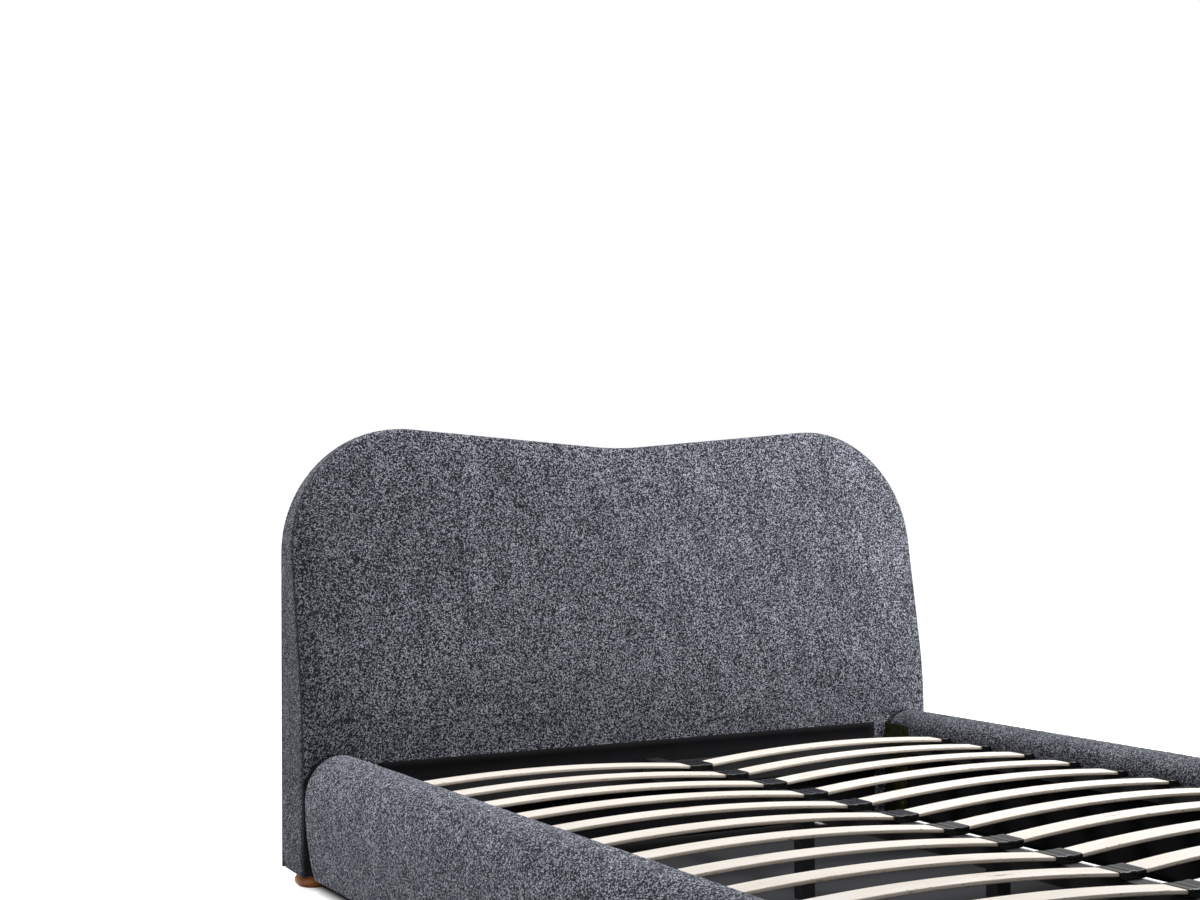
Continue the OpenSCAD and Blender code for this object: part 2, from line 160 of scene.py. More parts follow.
def mark(obj, name, values):
    """Stores a vector for each point, which the materials read as their own coordinates."""
    layer = obj.data.attributes.new(name, "FLOAT_VECTOR", "POINT")
    layer.data.foreach_set("vector", np.asarray(values, np.float32).ravel())


def lengths(line):
    """Length along a line of points, at each of them."""
    return np.concatenate([[0], np.cumsum(np.linalg.norm(np.diff(line, axis=0), axis=1))])


def along_line(line, total, at):
    """The point or points of a line at given lengths along it."""
    return np.stack([np.interp(at, total, line[:, k]) for k in range(line.shape[1])], -1)


def paint_shade(obj, dark, side_light):
    """Stores painted shade for each point: how dark it is painted where it lies down in a seam or gap, from 0
    to 1, and how much lighter or darker its side is painted for the way light falls on it."""
    dark = np.clip(dark, 0, 1)
    mark(obj, "paint_shade", np.stack([dark, side_light + 0 * dark, 0 * dark], -1))


def skin(n, m):
    """Faces between n rings of m points."""
    return [(i * m + j, i * m + (j + 1) % m, (i + 1) * m + (j + 1) % m, (i + 1) * m + j)
            for i in range(n - 1) for j in range(m)]


def shell(outer, inner):
    """Points and faces of the closed solid between two grids [station, point, 3]."""
    rings = np.concatenate([outer, inner[:, ::-1]], axis=1)
    n, m = rings.shape[:2]
    faces = skin(n, m)
    for base in (0, (n - 1) * m):
        faces += [(base + j, base + j + 1, base + m - 2 - j, base + m - 1 - j)
                  for j in range(outer.shape[1] - 1)]
    return rings.reshape(-1, 3), faces


def tube(rings, first=0):
    """Points and faces of a closed form through rings [station, point, 3], with fanned ends."""
    n, m = rings.shape[:2]
    points = np.concatenate([rings.reshape(-1, 3), rings[[0, -1]].mean(axis=1)])
    faces = skin(n, m)
    last = (n - 1) * m
    faces += [(n * m, (j + 1) % m, j) for j in range(m)]
    faces += [(n * m + 1, last + j, last + (j + 1) % m) for j in range(m)]
    return points, [tuple(first + k for k in f) for f in faces]


def tubes(name, forms, material):
    """One piece of many closed forms, each given by its rings."""
    points, faces = [], []
    for rings in forms:
        some, more = tube(np.array(rings), sum(len(p) for p in points))
        points.append(some)
        faces += more
    return piece(name, np.concatenate(points), faces, material)


def rounded_rectangle(width, height, radius, corner_steps=4, side_steps=(6, 1)):
    """Points (v, w) round a centred rectangle with rounded corners."""
    corners = [(1, 1, 0), (-1, 1, 90), (-1, -1, 180), (1, -1, 270)]
    out = []
    for k, (sx, sy, start) in enumerate(corners):
        cx, cy = sx * (width / 2 - radius), sy * (height / 2 - radius)
        for i in range(corner_steps + 1):
            a = math.radians(start + 90 * i / corner_steps)
            out.append((cx + radius * math.cos(a), cy + radius * math.sin(a)))
        nx, ny, turn = corners[(k + 1) % 4]
        b = math.radians(turn)
        end = (nx * (width / 2 - radius) + radius * math.cos(b),
               ny * (height / 2 - radius) + radius * math.sin(b))
        out += np.linspace(out[-1], end, side_steps[k % 2] + 1)[1:-1].tolist()
    return np.array(out)


def puff(obj, held, cap, slack):
    """Swells obj's cloth for 20 frames and applies the result. held is 1 where it is fixed and
    less where foam holds it softly; no point moves further than about cap."""
    rest = np.array([v.co for v in obj.data.vertices])
    group = obj.vertex_groups.new(name="held")
    for level in np.unique(np.round(held, 2)):
        group.add(np.flatnonzero(np.round(held, 2) == level).tolist(), float(level), "REPLACE")
    cloth = obj.modifiers.new("Cloth", "CLOTH")
    s = cloth.settings
    s.quality = 4
    s.mass = 0.25
    s.tension_stiffness = s.compression_stiffness = 25
    s.shear_stiffness = 15
    s.bending_stiffness = 2.0
    s.air_damping = 4
    s.vertex_group_mass = "held"
    s.shrink_min = -slack
    s.use_pressure = True
    s.uniform_pressure_force = PRESSURE
    s.effector_weights.gravity = 0
    cloth.point_cache.frame_start = 1
    cloth.point_cache.frame_end = 20
    for number in range(1, 21):
        scene.frame_set(number)
    shaped = obj.evaluated_get(bpy.context.evaluated_depsgraph_get()).data
    moved = np.array([v.co for v in shaped.vertices]) - rest
    obj.modifiers.remove(cloth)
    obj.vertex_groups.remove(group)
    scene.frame_set(1)
    length = np.linalg.norm(moved, axis=1, keepdims=True) + 1e-9
    rest += moved * cap * np.tanh(length / cap) / length
    obj.data.vertices.foreach_set("co", rest.astype(np.float32).ravel())
    obj.data.update()


# ---- Node helpers ----

class Shade:
    """Builds one procedural material: nodes by type, with values or links for inputs."""

    def __init__(self, name):
        self.material = bpy.data.materials.new(name)
        self.material.use_nodes = True
        self.tree = self.material.node_tree
        self.shader = next(n for n in self.tree.nodes if n.type == "BSDF_PRINCIPLED")

    def set(self, target, value):
        if isinstance(value, bpy.types.NodeSocket):
            self.tree.links.new(value, target)
        else:
            target.default_value = value

    def node(self, kind, out=0, settings=None, **inputs):
        made = self.tree.nodes.new("ShaderNode" + kind)
        for key, value in (settings or {}).items():
            setattr(made, key, value)
        for key, value in inputs.items():
            index = int(key[1:]) if key[0] == "i" and key[1:].isdigit() else key.replace("_", " ")
            self.set(made.inputs[index], value)
        return made.outputs[out]

    def math(self, operation, a, b=0.0, c=0.0, clamp=False):
        return self.node("Math", settings={"operation": operation, "use_clamp": clamp}, i0=a, i1=b, i2=c)

    def mul(self, a, b):
        return self.math("MULTIPLY", a, b)

    def muladd(self, a, b, c):
        return self.math("MULTIPLY_ADD", a, b, c)

    def part(self, vector, index):
        return self.node("SeparateXYZ", out=index, Vector=vector)

    def cells(self, vector, randomness=1.0, dimensions="3D"):
        """Distance to the nearest cell's middle, and a chance value for each cell."""
        near = self.node("TexVoronoi", settings={"voronoi_dimensions": dimensions}, Vector=vector,
                         Scale=1.0, Randomness=randomness)
        return near, self.node("SeparateColor", Color=near.node.outputs["Color"])

    def attribute(self, name):
        return self.node("Attribute", out="Vector", settings={"attribute_name": name})

    def place(self):
        return self.node("TexCoord", out="Object")

    def scaled(self, vector, scale):
        return self.node("Mapping", i0=vector, i3=scale)

    def noise(self, vector, scale, detail=2.0, roughness=0.5, out=0):
        return self.node("TexNoise", out=out, Vector=vector, Scale=scale, Detail=detail, Roughness=roughness)

    def ramp(self, value, stops):
        made = self.node("ValToRGB", i0=value)
        band = made.node.color_ramp
        while len(band.elements) < len(stops):
            band.elements.new(0.5)
        for element, (at, colour) in zip(band.elements, stops):
            element.position = at
            element.color = (*colour, 1)
        return made

    def mix(self, factor, a, b, blend="MIX"):
        return self.node("Mix", out=2, settings={"data_type": "RGBA", "blend_type": blend},
                         i0=factor, i6=a, i7=b)

    def bump(self, height, distance, strength=1.0):
        self.set(self.shader.inputs["Normal"],
                 self.node("Bump", Height=height, Distance=distance, Strength=strength))

    def finish(self, **inputs):
        for key, value in inputs.items():
            self.set(self.shader.inputs[key.replace("_", " ")], value)
        return self.material


# ---- Materials ----

def make_fabric():
    """Two-tone chenille: near-black, blue-grey and pale nubs, slubs and streaked patches, with painted seam
    shade and painted side light mixed in.
    """
    m = Shade("upholstery_boucle")
    weave = m.attribute("weave")
    drift = m.node("VectorMath", settings={"operation": "SUBTRACT"},
                   i0=m.noise(weave, 260, 1.0, out=1), i1=(0.5, 0.5, 0.5))
    bent = m.node("VectorMath", settings={"operation": "MULTIPLY_ADD"},
                  i0=drift, i1=(NUB_DRIFT, NUB_DRIFT, 0), i2=weave)
    nub, chance = m.cells(m.scaled(bent, (1 / NUB_W, 1 / NUB_H, 1)), 0.45, "2D")
    fibres = m.noise(weave, 900, 2.0, 0.6)
    slubs = m.noise(m.scaled(weave, (380, 45, 1)), 1.0, 2.0)
    picks = m.noise(m.scaled(weave, (60, 400, 1)), 1.0, 2.0)
    patches = m.noise(m.scaled(weave, (20, 6, 1)), 1.0, 3.0, 0.6)
    broad = m.noise(weave, 1.9, 2.0)
    tone = m.muladd(nub, -0.30, m.muladd(fibres, 0.15, chance))
    for pattern, strength in ((slubs, 0.44), (picks, 0.36), (patches, 0.34), (broad, 0.12)):
        tone = m.math("ADD", tone, m.muladd(pattern, strength, -strength / 2))
    colour = m.ramp(tone, [(0.26, (0.0055, 0.0060, 0.0085)), (0.44, (0.028, 0.030, 0.041)),
                           (0.58, (0.099, 0.104, 0.130)), (0.76, (0.238, 0.247, 0.296)),
                           (0.98, (0.470, 0.482, 0.545))])
    # Painted light and shade: a whole side is painted lighter or darker, and seams and gaps are painted
    # near-black as their shade.
    painted_shade = m.attribute("paint_shade")
    painted_side_light = m.muladd(m.part(painted_shade, 1), SIDE_LIGHT_EFFECT, 1.0)
    colour = m.node("VectorMath", settings={"operation": "SCALE"}, i0=colour, i3=painted_side_light)
    colour = m.mix(m.mul(m.part(painted_shade, 0), SEAM_SHADE), colour, (0.0015, 0.0016, 0.002, 1))
    m.bump(m.muladd(nub, -0.7, m.muladd(fibres, 0.5, m.mul(tone, 0.6))), 0.0014, 0.9)
    return m.finish(Base_Color=colour, Roughness=m.muladd(fibres, 0.14, 0.80), Sheen_Weight=0.12,
                    Sheen_Roughness=0.55, Sheen_Tint=(0.62, 0.66, 0.76, 1), Specular_IOR_Level=0.2)


def make_thread():
    """Dark twisted sewing thread."""
    m = Shade("seam_thread")
    place = m.place()
    twist = m.node("TexWave", Vector=place, Scale=900.0, Distortion=1.5, Detail=1.0)
    colour = m.ramp(twist, [(0.2, (0.008, 0.009, 0.012)), (0.9, (0.045, 0.048, 0.058))])
    m.bump(twist, 0.0002, 0.6)
    return m.finish(Base_Color=colour, Roughness=m.muladd(twist, 0.2, 0.55))


def make_lining():
    """Black non-woven cloth with its lattice of welded dots."""
    m = Shade("lining_nonwoven")
    place = m.place()
    dots, _ = m.cells(m.scaled(place, (520, 520, 520)), 0.15)
    fibres = m.noise(place, 1400, 3.0, 0.7)
    clouds = m.noise(place, 14, 3.0, 0.6)
    tone = m.muladd(fibres, 0.5, m.mul(clouds, 0.5))
    colour = m.ramp(tone, [(0.30, (0.0018, 0.0017, 0.0026)), (0.72, (0.0075, 0.0072, 0.0098))])
    height = m.muladd(dots, 0.7, m.mul(fibres, 0.4))
    m.bump(height, 0.0005, 0.6)
    return m.finish(Base_Color=colour, Roughness=m.muladd(clouds, 0.2, 0.68),
                    Specular_IOR_Level=0.2)


def make_slat():
    """Pale birch ply: streaked faces, layered long edges, small knots and voids."""
    m = Shade("slat_birch_ply")
    grain = m.attribute("grain")
    across, through = m.part(grain, 1), m.part(grain, 2)
    streaks = m.noise(m.scaled(grain, (9, 260, 260)), 1.0, 4.0, 0.6)
    pores = m.noise(m.scaled(grain, (90, 1500, 1500)), 1.0, 2.0, 0.6)
    clouds = m.noise(m.scaled(grain, (3.2, 18, 18)), 1.0, 2.0)
    tone = m.muladd(streaks, 0.5, m.muladd(pores, 0.2, m.mul(clouds, 0.3)))
    face = m.ramp(tone, [(0.28, (0.56, 0.490, 0.410)), (0.50, (0.76, 0.705, 0.640)),
                         (0.72, (0.82, 0.785, 0.735))])
    layer = m.node("TexWave", settings={"bands_direction": "Z", "wave_profile": "TRI"},
                   Vector=grain, Scale=107.0, Distortion=0.6, Detail=2.0)
    ply = m.ramp(layer, [(0.10, (0.40, 0.27, 0.15)), (0.35, (0.66, 0.53, 0.38)), (0.8, (0.78, 0.68, 0.53))])
    edge = m.math("GREATER_THAN", m.math("ABSOLUTE", across), SLAT_W / 2 - SLAT_EDGE_R)
    wood = m.mix(m.mul(edge, 0.30), face, m.mix(0.5, ply, face, "MULTIPLY"))
    # Painted shade: the lowest part of the long edges, where they turn under, is painted dark brown.
    edge_underside_shade = m.mul(edge, m.math("LESS_THAN", through, -SLAT_T * 0.22))
    wood = m.mix(m.mul(edge_underside_shade, 0.55), wood, (0.27, 0.155, 0.085, 1))
    spot, chance = m.cells(m.scaled(grain, (7, 40, 40)))
    rare = m.math("GREATER_THAN", chance, 0.84)
    knot = m.mul(rare, m.math("LESS_THAN", spot, 0.085))
    halo = m.mul(rare, m.math("LESS_THAN", spot, 0.22))
    gaps = m.math("GREATER_THAN", m.noise(m.scaled(grain, (60, 10, 700)), 1.0, 1.0), 0.70)
    wood = m.mix(m.mul(halo, 0.35), wood, (0.42, 0.26, 0.14, 1))
    wood = m.mix(m.mul(knot, 0.85), wood, (0.075, 0.035, 0.018, 1))
    wood = m.mix(m.mul(m.mul(gaps, edge), 0.85), wood, (0.06, 0.03, 0.016, 1))
    m.bump(m.muladd(streaks, 0.5, pores), 0.00035, 0.5)
    return m.finish(Base_Color=wood, Roughness=m.muladd(streaks, 0.25, 0.36),
                    Specular_IOR_Level=0.42, Coat_Weight=0.08, Coat_Roughness=0.35)


def make_wood(name, along, dark, pale, scale, roughness, coat=0.0, fleck=0.0):
    """Solid wood with its grain along one axis; fleck adds the short dark rays of beech."""
    m = Shade(name)
    place = m.place()
    stretch = [scale] * 3
    stretch["xyz".index(along)] = scale * 0.045
    rings = m.node("TexWave", settings={"wave_type": "RINGS", "rings_direction": along.upper()},
                   Vector=m.scaled(place, tuple(stretch)), Scale=0.22, Distortion=7.0, Detail=2.0,
                   Detail_Scale=0.7)
    fine = m.noise(m.scaled(place, tuple(v * 6 for v in stretch)), 1.0, 3.0, 0.6)
    clouds = m.noise(place, 11, 2.0)
    tone = m.muladd(rings, 0.45, m.muladd(fine, 0.35, m.mul(clouds, 0.2)))
    colour = m.ramp(tone, [(0.22, dark), (0.80, pale)])
    if fleck:
        rays = m.math("GREATER_THAN", m.noise(m.scaled(place, tuple(v * 9 for v in stretch)), 1.0, 1.0), 0.66)
        colour = m.mix(m.mul(rays, fleck), colour, (*[c * 0.45 for c in dark], 1))
    m.bump(m.muladd(fine, 0.7, m.mul(rings, 0.3)), 0.0005, 0.4)
    return m.finish(Base_Color=colour, Roughness=m.muladd(fine, 0.16, roughness),
                    Coat_Weight=coat, Coat_Roughness=0.18)


def make_mottled(name, fine, broad, share, stops, bump, rough, **more):
    """A coat with a fine texture over broad clouds, each given as scale, detail and roughness.
    share is how much of the colour's pattern is fine, rough the least roughness and its spread."""
    m = Shade(name)
    fine, broad = m.noise(m.place(), *fine), m.noise(m.place(), *broad)
    m.bump(fine, *bump)
    return m.finish(Base_Color=m.ramp(m.muladd(fine, share, m.mul(broad, 1 - share)), stops),
                    Roughness=m.muladd(broad, rough[1], rough[0]), **more)


def make_black_paint(name, shade, roughness, grit):
    """Black paint or powder coat with its fine orange-peel and dusty clouds."""
    stops = [(0.30, (shade * 0.6,) * 3), (0.75, (shade * 1.7, shade * 1.7, shade * 1.8))]
    return make_mottled(name, (grit, 2.0, 0.55), (17, 4.0, 0.65), 0.3, stops, (0.0003, 0.5),
                        (roughness, 0.25))


def make_plastic():
    """Black moulded plastic: faint spark-eroded texture, scuffs and uneven gloss."""
    m = Shade("cap_moulded_plastic")
    place = m.place()
    spark = m.noise(place, 2600, 2.0, 0.6)
    scuffs = m.noise(m.scaled(place, (40, 300, 300)), 1.0, 3.0, 0.7)
    clouds = m.noise(place, 60, 2.0)
    colour = m.ramp(scuffs, [(0.35, (0.0035, 0.0038, 0.0048)), (0.75, (0.010, 0.0105, 0.0125))])
    m.bump(m.muladd(spark, 0.6, m.mul(scuffs, 0.4)), 0.00005, 0.35)
    rough = m.muladd(clouds, 0.18, m.muladd(scuffs, 0.12, 0.09))
    return m.finish(Base_Color=colour, Roughness=rough, Specular_IOR_Level=0.55)


def make_plate():
    """Dark olive passivated steel, with yellow-green where the film is thin or rubbed."""
    stops = [(0.36, (0.012, 0.013, 0.006)), (0.54, (0.040, 0.043, 0.014)),
             (0.61, (0.115, 0.125, 0.022)), (0.70, (0.42, 0.46, 0.08))]
    return make_mottled("plate_passivated", (420, 3.0, 0.7), (60, 4.0, 0.7), 0.45, stops, (0.0002, 0.4),
                        (0.30, 0.30), Metallic=0.55)


def make_zinc():
    """Bright zinc plate with drawn lines and cloudy spangle."""
    m = Shade("zinc_plated")
    place = m.place()
    spangle = m.noise(place, 140, 2.0, 0.6)
    lines = m.noise(m.scaled(place, (30, 30, 1500)), 1.0, 2.0, 0.6)
    colour = m.ramp(spangle, [(0.3, (0.40, 0.41, 0.40)), (0.7, (0.66, 0.67, 0.66))])
    m.bump(lines, 0.0001, 0.4)
    return m.finish(Base_Color=colour, Roughness=m.muladd(lines, 0.25, 0.22), Metallic=1.0)


def beyond(m, half_x, low_y, high_y):
    """How far the shaded point is outside a rectangle on the floor."""
    off = []
    for axis, middle, half in ((0, 0.0, half_x), (1, (low_y + high_y) / 2, (high_y - low_y) / 2)):
        from_middle = m.math("ABSOLUTE", m.math("SUBTRACT", m.part(m.place(), axis), middle))
        past = m.math("MAXIMUM", m.math("SUBTRACT", from_middle, half), 0.0)
        off.append(m.mul(past, past))
    return m.math("SQRT", m.math("ADD", *off))


def make_floor():
    """A plain pale floor with a painted shadow under the bed, brightening softly past its edges."""
    m = Shade("floor_pale")
    under = m.math("MINIMUM", beyond(m, OUTER_X - SHADE_IN, FOOT_BACK_Y + SHADE_IN, BACK_Y - SHADE_IN),
                   beyond(m, SHOULDER_X, 0.0, BACK_Y + SHADE_BACK))
    open_floor = m.node("MapRange", settings={"interpolation_type": "SMOOTHSTEP"}, i0=under, i1=0.0,
                        i2=SHADE_FADE)
    clouds = m.noise(m.place(), 1.2, 2.0)
    pale = m.ramp(clouds, [(0.3, (0.79, 0.79, 0.79)), (0.7, (0.81, 0.81, 0.81))])
    # Painted shadow: the floor under the bed is coloured near-black.
    colour = m.mix(open_floor, (0.040, 0.041, 0.045, 1), pale)
    seen = m.node("LightPath", out="Is Camera Ray")
    glow = m.mul(m.mul(open_floor, seen), FLOOR_GLOW)
    return m.finish(Base_Color=colour, Roughness=0.8, Specular_IOR_Level=0.1,
                    Emission_Color=(1, 1, 1, 1), Emission_Strength=glow)


fabric = make_fabric()
thread = make_thread()
lining = make_lining()
slat_wood = make_slat()
beech = make_wood("bun_beech_lacquered", "z", (0.215, 0.062, 0.012), (0.44, 0.155, 0.038), 42, 0.30,
                  coat=0.12, fleck=0.5)
plastic = make_plastic()
zinc = make_zinc()
by_slot = {
    "lining_cloth": lining,
    "slat_birch": slat_wood,
    "ledger_black": make_black_paint("ledger_black_paint", 0.012, 0.45, 900),
    "black_steel": make_black_paint("steel_powder_coat", 0.011, 0.34, 1900),
    "plate_steel": make_plate(),
    "zinc_steel": zinc,
    "cap_plastic": plastic,
}
timber = {axis: make_wood("frame_timber_" + axis, axis, (0.36, 0.215, 0.105), (0.68, 0.49, 0.29), 17, 0.62)
          for axis in "xyz"}


# ---- Headboard ----

def lean(z):
    """How far the front face has leant back at height z."""
    bend = LEAN_FULL_Z - LEAN_START_Z
    rise = np.clip(z - LEAN_START_Z, 0, bend)
    return LEAN_SLOPE * (rise ** 2 / (2 * bend) + np.clip(z - LEAN_FULL_Z, 0, None))


ARC = math.pi / 2 + DIP
DIP_CENTRE_Z = (SHOULDER_Z + (SHOULDER_R + DIP_R) * math.cos(DIP)
                - (SHOULDER_X - (SHOULDER_R + DIP_R) * math.sin(DIP)) * math.tan(DIP))
SIDE_L = SHOULDER_Z - SKIRT_Z
ARC_L = SHOULDER_R * ARC
SLOPE_START = np.array([SHOULDER_X + SHOULDER_R * math.cos(ARC), SHOULDER_Z + SHOULDER_R * math.sin(ARC)])
SLOPE_END = np.array([DIP_R * math.sin(DIP), DIP_CENTRE_Z - DIP_R * math.cos(DIP)])
SLOPE_L = float(np.linalg.norm(SLOPE_END - SLOPE_START))
HALF_L = SIDE_L + ARC_L + SLOPE_L + DIP_R * DIP


def outline(s, inset):
    """Points (x, z) of the headboard's outline, inset, at lengths s from the lower right corner
    over the top to the lower left one."""
    s = np.asarray(s, float)
    left = s > HALF_L
    t = np.where(left, 2 * HALF_L - s, s)
    arc = np.clip((t - SIDE_L) / SHOULDER_R, 0, ARC)
    run = np.clip((t - SIDE_L - ARC_L) / SLOPE_L, 0, 1)
    swing = np.clip(DIP - (t - SIDE_L - ARC_L - SLOPE_L) / DIP_R, 0, DIP)
    x = SHOULDER_X + SHOULDER_R * np.cos(arc)
    z = np.where(t < SIDE_L, SKIRT_Z + t, SHOULDER_Z + SHOULDER_R * np.sin(arc))
    x = x + run * (SLOPE_END[0] - SLOPE_START[0]) + DIP_R * (np.sin(swing) - math.sin(DIP))
    z = z + run * (SLOPE_END[1] - SLOPE_START[1]) - DIP_R * (np.cos(swing) - math.cos(DIP))
    nx = np.where(t > SIDE_L + ARC_L + SLOPE_L, -np.sin(swing), np.cos(arc))
    nz = np.where(t > SIDE_L + ARC_L + SLOPE_L, np.cos(swing), np.sin(arc))
    x, z = x - inset * nx, z - inset * nz
    return np.stack([np.where(left, -x, x), z, np.where(left, -nx, nx), nz], axis=-1)


CORNER_L = SIDE_L + SHOULDER_R * math.pi / 4
COLS = 196
ROWS = 118


def edge_loop(inset):
    """The outline as a loop of points (x, z, nx, nz): along the bottom, up the right side, over
    the top and down the left side. The bottom edge is inset too."""
    rise = np.linspace(0, CORNER_L, ROWS + 1)
    right = outline(rise, inset)
    low = np.clip(1 - (right[:, 1] - SKIRT_Z) / SIDE_L, 0, 1)
    right[:, 1] += inset * low
    top = outline(np.linspace(CORNER_L, 2 * HALF_L - CORNER_L, COLS + 1), inset)
    left = right[::-1] * (-1, 1, -1, 1)
    half = right[0, 0]
    bottom = np.zeros((COLS + 1, 4))
    bottom[:, 0] = np.linspace(-half, half, COLS + 1)
    bottom[:, 1] = SKIRT_Z + inset
    bottom[:, 3] = -1
    return bottom, right, top, left


def ring_of(inset):
    """The edge loop as one closed ring of 2 * (COLS + ROWS) points."""
    bottom, right, top, left = edge_loop(inset)
    return np.concatenate([bottom[:-1], right[:-1], top[:-1], left[:-1]])


def patch_of(inset):
    """A grid (COLS + 1, ROWS + 1, 2) that fills the inset outline."""
    bottom, right, top, left = (e[:, :2] for e in edge_loop(inset))
    top, left = top[::-1], left[::-1]
    a = np.linspace(0, 1, COLS + 1)[:, None, None]
    b = np.linspace(0, 1, ROWS + 1)[None, :, None]
    return ((1 - b) * bottom[:, None] + b * top[:, None] + (1 - a) * left[None] + a * right[None]
            - (1 - a) * (1 - b) * bottom[0] - a * (1 - b) * bottom[-1]
            - (1 - a) * b * top[0] - a * b * top[-1])


def slab(name, profile, depth_of, material):
    """A closed slab of the headboard's shape. profile lists (inset, depth) from the front patch
    round the edge to the rear patch; depth_of(x, z, depth) gives y."""
    grid = np.arange((COLS + 1) * (ROWS + 1)).reshape(COLS + 1, ROWS + 1)
    rim = np.concatenate([grid[:-1, 0], grid[-1, :-1], grid[:0:-1, -1], grid[0, :0:-1]])
    points, weave, faces, sheets = [], [], [], []
    count = 0
    for end, (inset, depth) in ((0, profile[0]), (1, profile[-1])):
        flat = patch_of(inset).reshape(-1, 2)
        points.append(np.stack([flat[:, 0], depth_of(flat[:, 0], flat[:, 1], depth), flat[:, 1]], -1))
        weave.append(np.stack([flat[:, 0], flat[:, 1], np.full(len(flat), depth)], -1))
        quads = np.stack([grid[:-1, :-1], grid[1:, :-1], grid[1:, 1:], grid[:-1, 1:]], -1).reshape(-1, 4)
        faces += (quads + count).tolist()
        sheets.append(rim + count)
        count += len(flat)
    loops = [sheets[0]]
    along = 0.0
    for k in range(1, len(profile) - 1):
        inset, depth = profile[k]
        along += math.dist(profile[k], profile[k - 1])
        ring = ring_of(inset)
        points.append(np.stack([ring[:, 0], depth_of(ring[:, 0], ring[:, 1], depth), ring[:, 1]], -1))
        base = ring_of(profile[0][0])
        weave.append(np.stack([base[:, 0] + base[:, 2] * along, base[:, 1] + base[:, 3] * along,
                               np.full(len(ring), depth)], -1))
        loops.append(np.arange(len(ring)) + count)
        count += len(ring)
    loops.append(sheets[1])
    for near, far in zip(loops[:-1], loops[1:]):
        faces += np.stack([near, np.roll(near, -1), np.roll(far, -1), far], -1).tolist()
    obj = piece(name, np.concatenate(points), faces, material)
    mark(obj, "weave", np.concatenate(weave))
    return obj


def quarter(radius, steps, turn):
    """(inset, depth) steps of an edge that rounds over by a quarter turn."""
    angles = [math.pi / 2 * i / steps for i in range(steps + 1)]
    if turn == "front":
        return [(radius * (1 - math.sin(a)), radius * (1 - math.cos(a))) for a in angles]
    return [(radius * (1 - math.cos(a)), radius * math.sin(a)) for a in angles]


FRONT_ROLL = 0.006
FRONT_STEPS = 6
CROWN_WIDTH = 0.130
CROWN_DEPTH = 0.0082
CROWN_STEPS = 12
SEAM_DEPTH = 0.0170
SEAM_IN = 0.0078
SEAM_LINE = ((0.0004, 0.0148), (0.0020, 0.0158), (0.0050, 0.0166), (SEAM_IN, SEAM_DEPTH), (0.0080, 0.0180),
             (0.0080, PAD_T - GAP))
# Painted shade on the front: where the painted seam shade starts and fades in, the painted contact shadow
# beside the rails' ends, and the width of the painted shade along the left edge.
SEAM_FROM = 0.0092
SEAM_FADE = 0.0035
LINING_HOLDS_Z = 0.285
LINING_HOLDS_FADE = 0.05
RAIL_SHADE = 0.003
RAIL_SHADE_FADE = 0.006
LEFT_SHADE_WIDTH = 0.11
# Creases: middle (x, z), half length, angle in degrees, depth.
PULL_WIDTH = 0.011
PULLS = ((0.550, 0.735, 0.060, 23, 0.0028), (-0.225, 0.805, 0.050, 52, 0.0020),
         (0.430, 0.520, 0.090, 12, 0.0014), (-0.560, 0.560, 0.080, 100, 0.0013))


def crown_z(u):
    """Height of a rail's crown at a distance u out from its inner face."""
    inward = np.clip((CROWN_IN - u) / CROWN_IN, 0, 1)
    outward = np.clip((u - CROWN_IN) / (RAIL_T - CROWN_IN), 0, 1)
    return RAIL_H - (np.where(u < CROWN_IN, CROWN_IN_Z, CROWN_OUT_Z)
                     * (1 - np.sqrt(1 - np.where(u < CROWN_IN, inward, outward) ** 2)))


def pulls(x, z):
    """Depth of the shallow creases where the cloth is pulled over its foam."""
    total = 0 * x
    for at_x, at_z, half, angle, deep in PULLS:
        c, s = math.cos(math.radians(angle)), math.sin(math.radians(angle))
        along = ((x - at_x) * c + (z - at_z) * s) / half
        across = (z - at_z) * c - (x - at_x) * s
        valley = np.exp(-(across / PULL_WIDTH) ** 2)
        valley = valley - 0.6 * np.exp(-(across / PULL_WIDTH - 1.7) ** 2)
        total = total + deep * valley * np.exp(-along ** 2)
    return total


def front_y(x, z, depth):
    """Place of a point of the front pad at a depth behind its face; creases fade with depth."""
    return FACE_Y + lean(z) + depth + pulls(x, z) * (1 - depth / (PAD_T - GAP))


def make_front():
    """The headboard's padded front: one taut panel that rolls over into the seam."""
    shares = [k / CROWN_STEPS for k in range(CROWN_STEPS)]
    profile = [(CROWN_WIDTH - (CROWN_WIDTH - FRONT_ROLL) * t, CROWN_DEPTH * t ** 2) for t in shares]
    profile += [(d, CROWN_DEPTH + t) for d, t in quarter(FRONT_ROLL, FRONT_STEPS, "front")]
    profile += SEAM_LINE
    obj = slab("headboard_front", profile, front_y, fabric)
    x, y, z = np.array([v.co for v in obj.data.vertices]).T
    depth = y - front_y(x, z, 0.0)
    held = np.clip(1 - (z - LINING_HOLDS_Z) / LINING_HOLDS_FADE, SOFT, 1)
    held[depth > CROWN_DEPTH + 0.0015] = 1
    # Painted shade: the seam groove and the strip by each rail's end are painted dark as their shade and
    # contact shadow, and the left edge is painted darker for light falling from the right.
    sewn = (depth - SEAM_FROM) / SEAM_FADE * np.clip(1.3 - (z - SHOULDER_Z) / SHOULDER_R, 0.35, 1)
    painted_rail_shadow = (crown_z(np.abs(x) - INNER_X) + RAIL_SHADE - z) / RAIL_SHADE_FADE
    painted_left_shade = np.exp(-((x + HALF_HEAD) / LEFT_SHADE_WIDTH) ** 2)
    paint_shade(obj, np.maximum(sewn, np.where(np.abs(x) > INNER_X, painted_rail_shadow, 0)), -painted_left_shade)
    puff(obj, held, SWELL, HEAD_SLACK)
    return obj


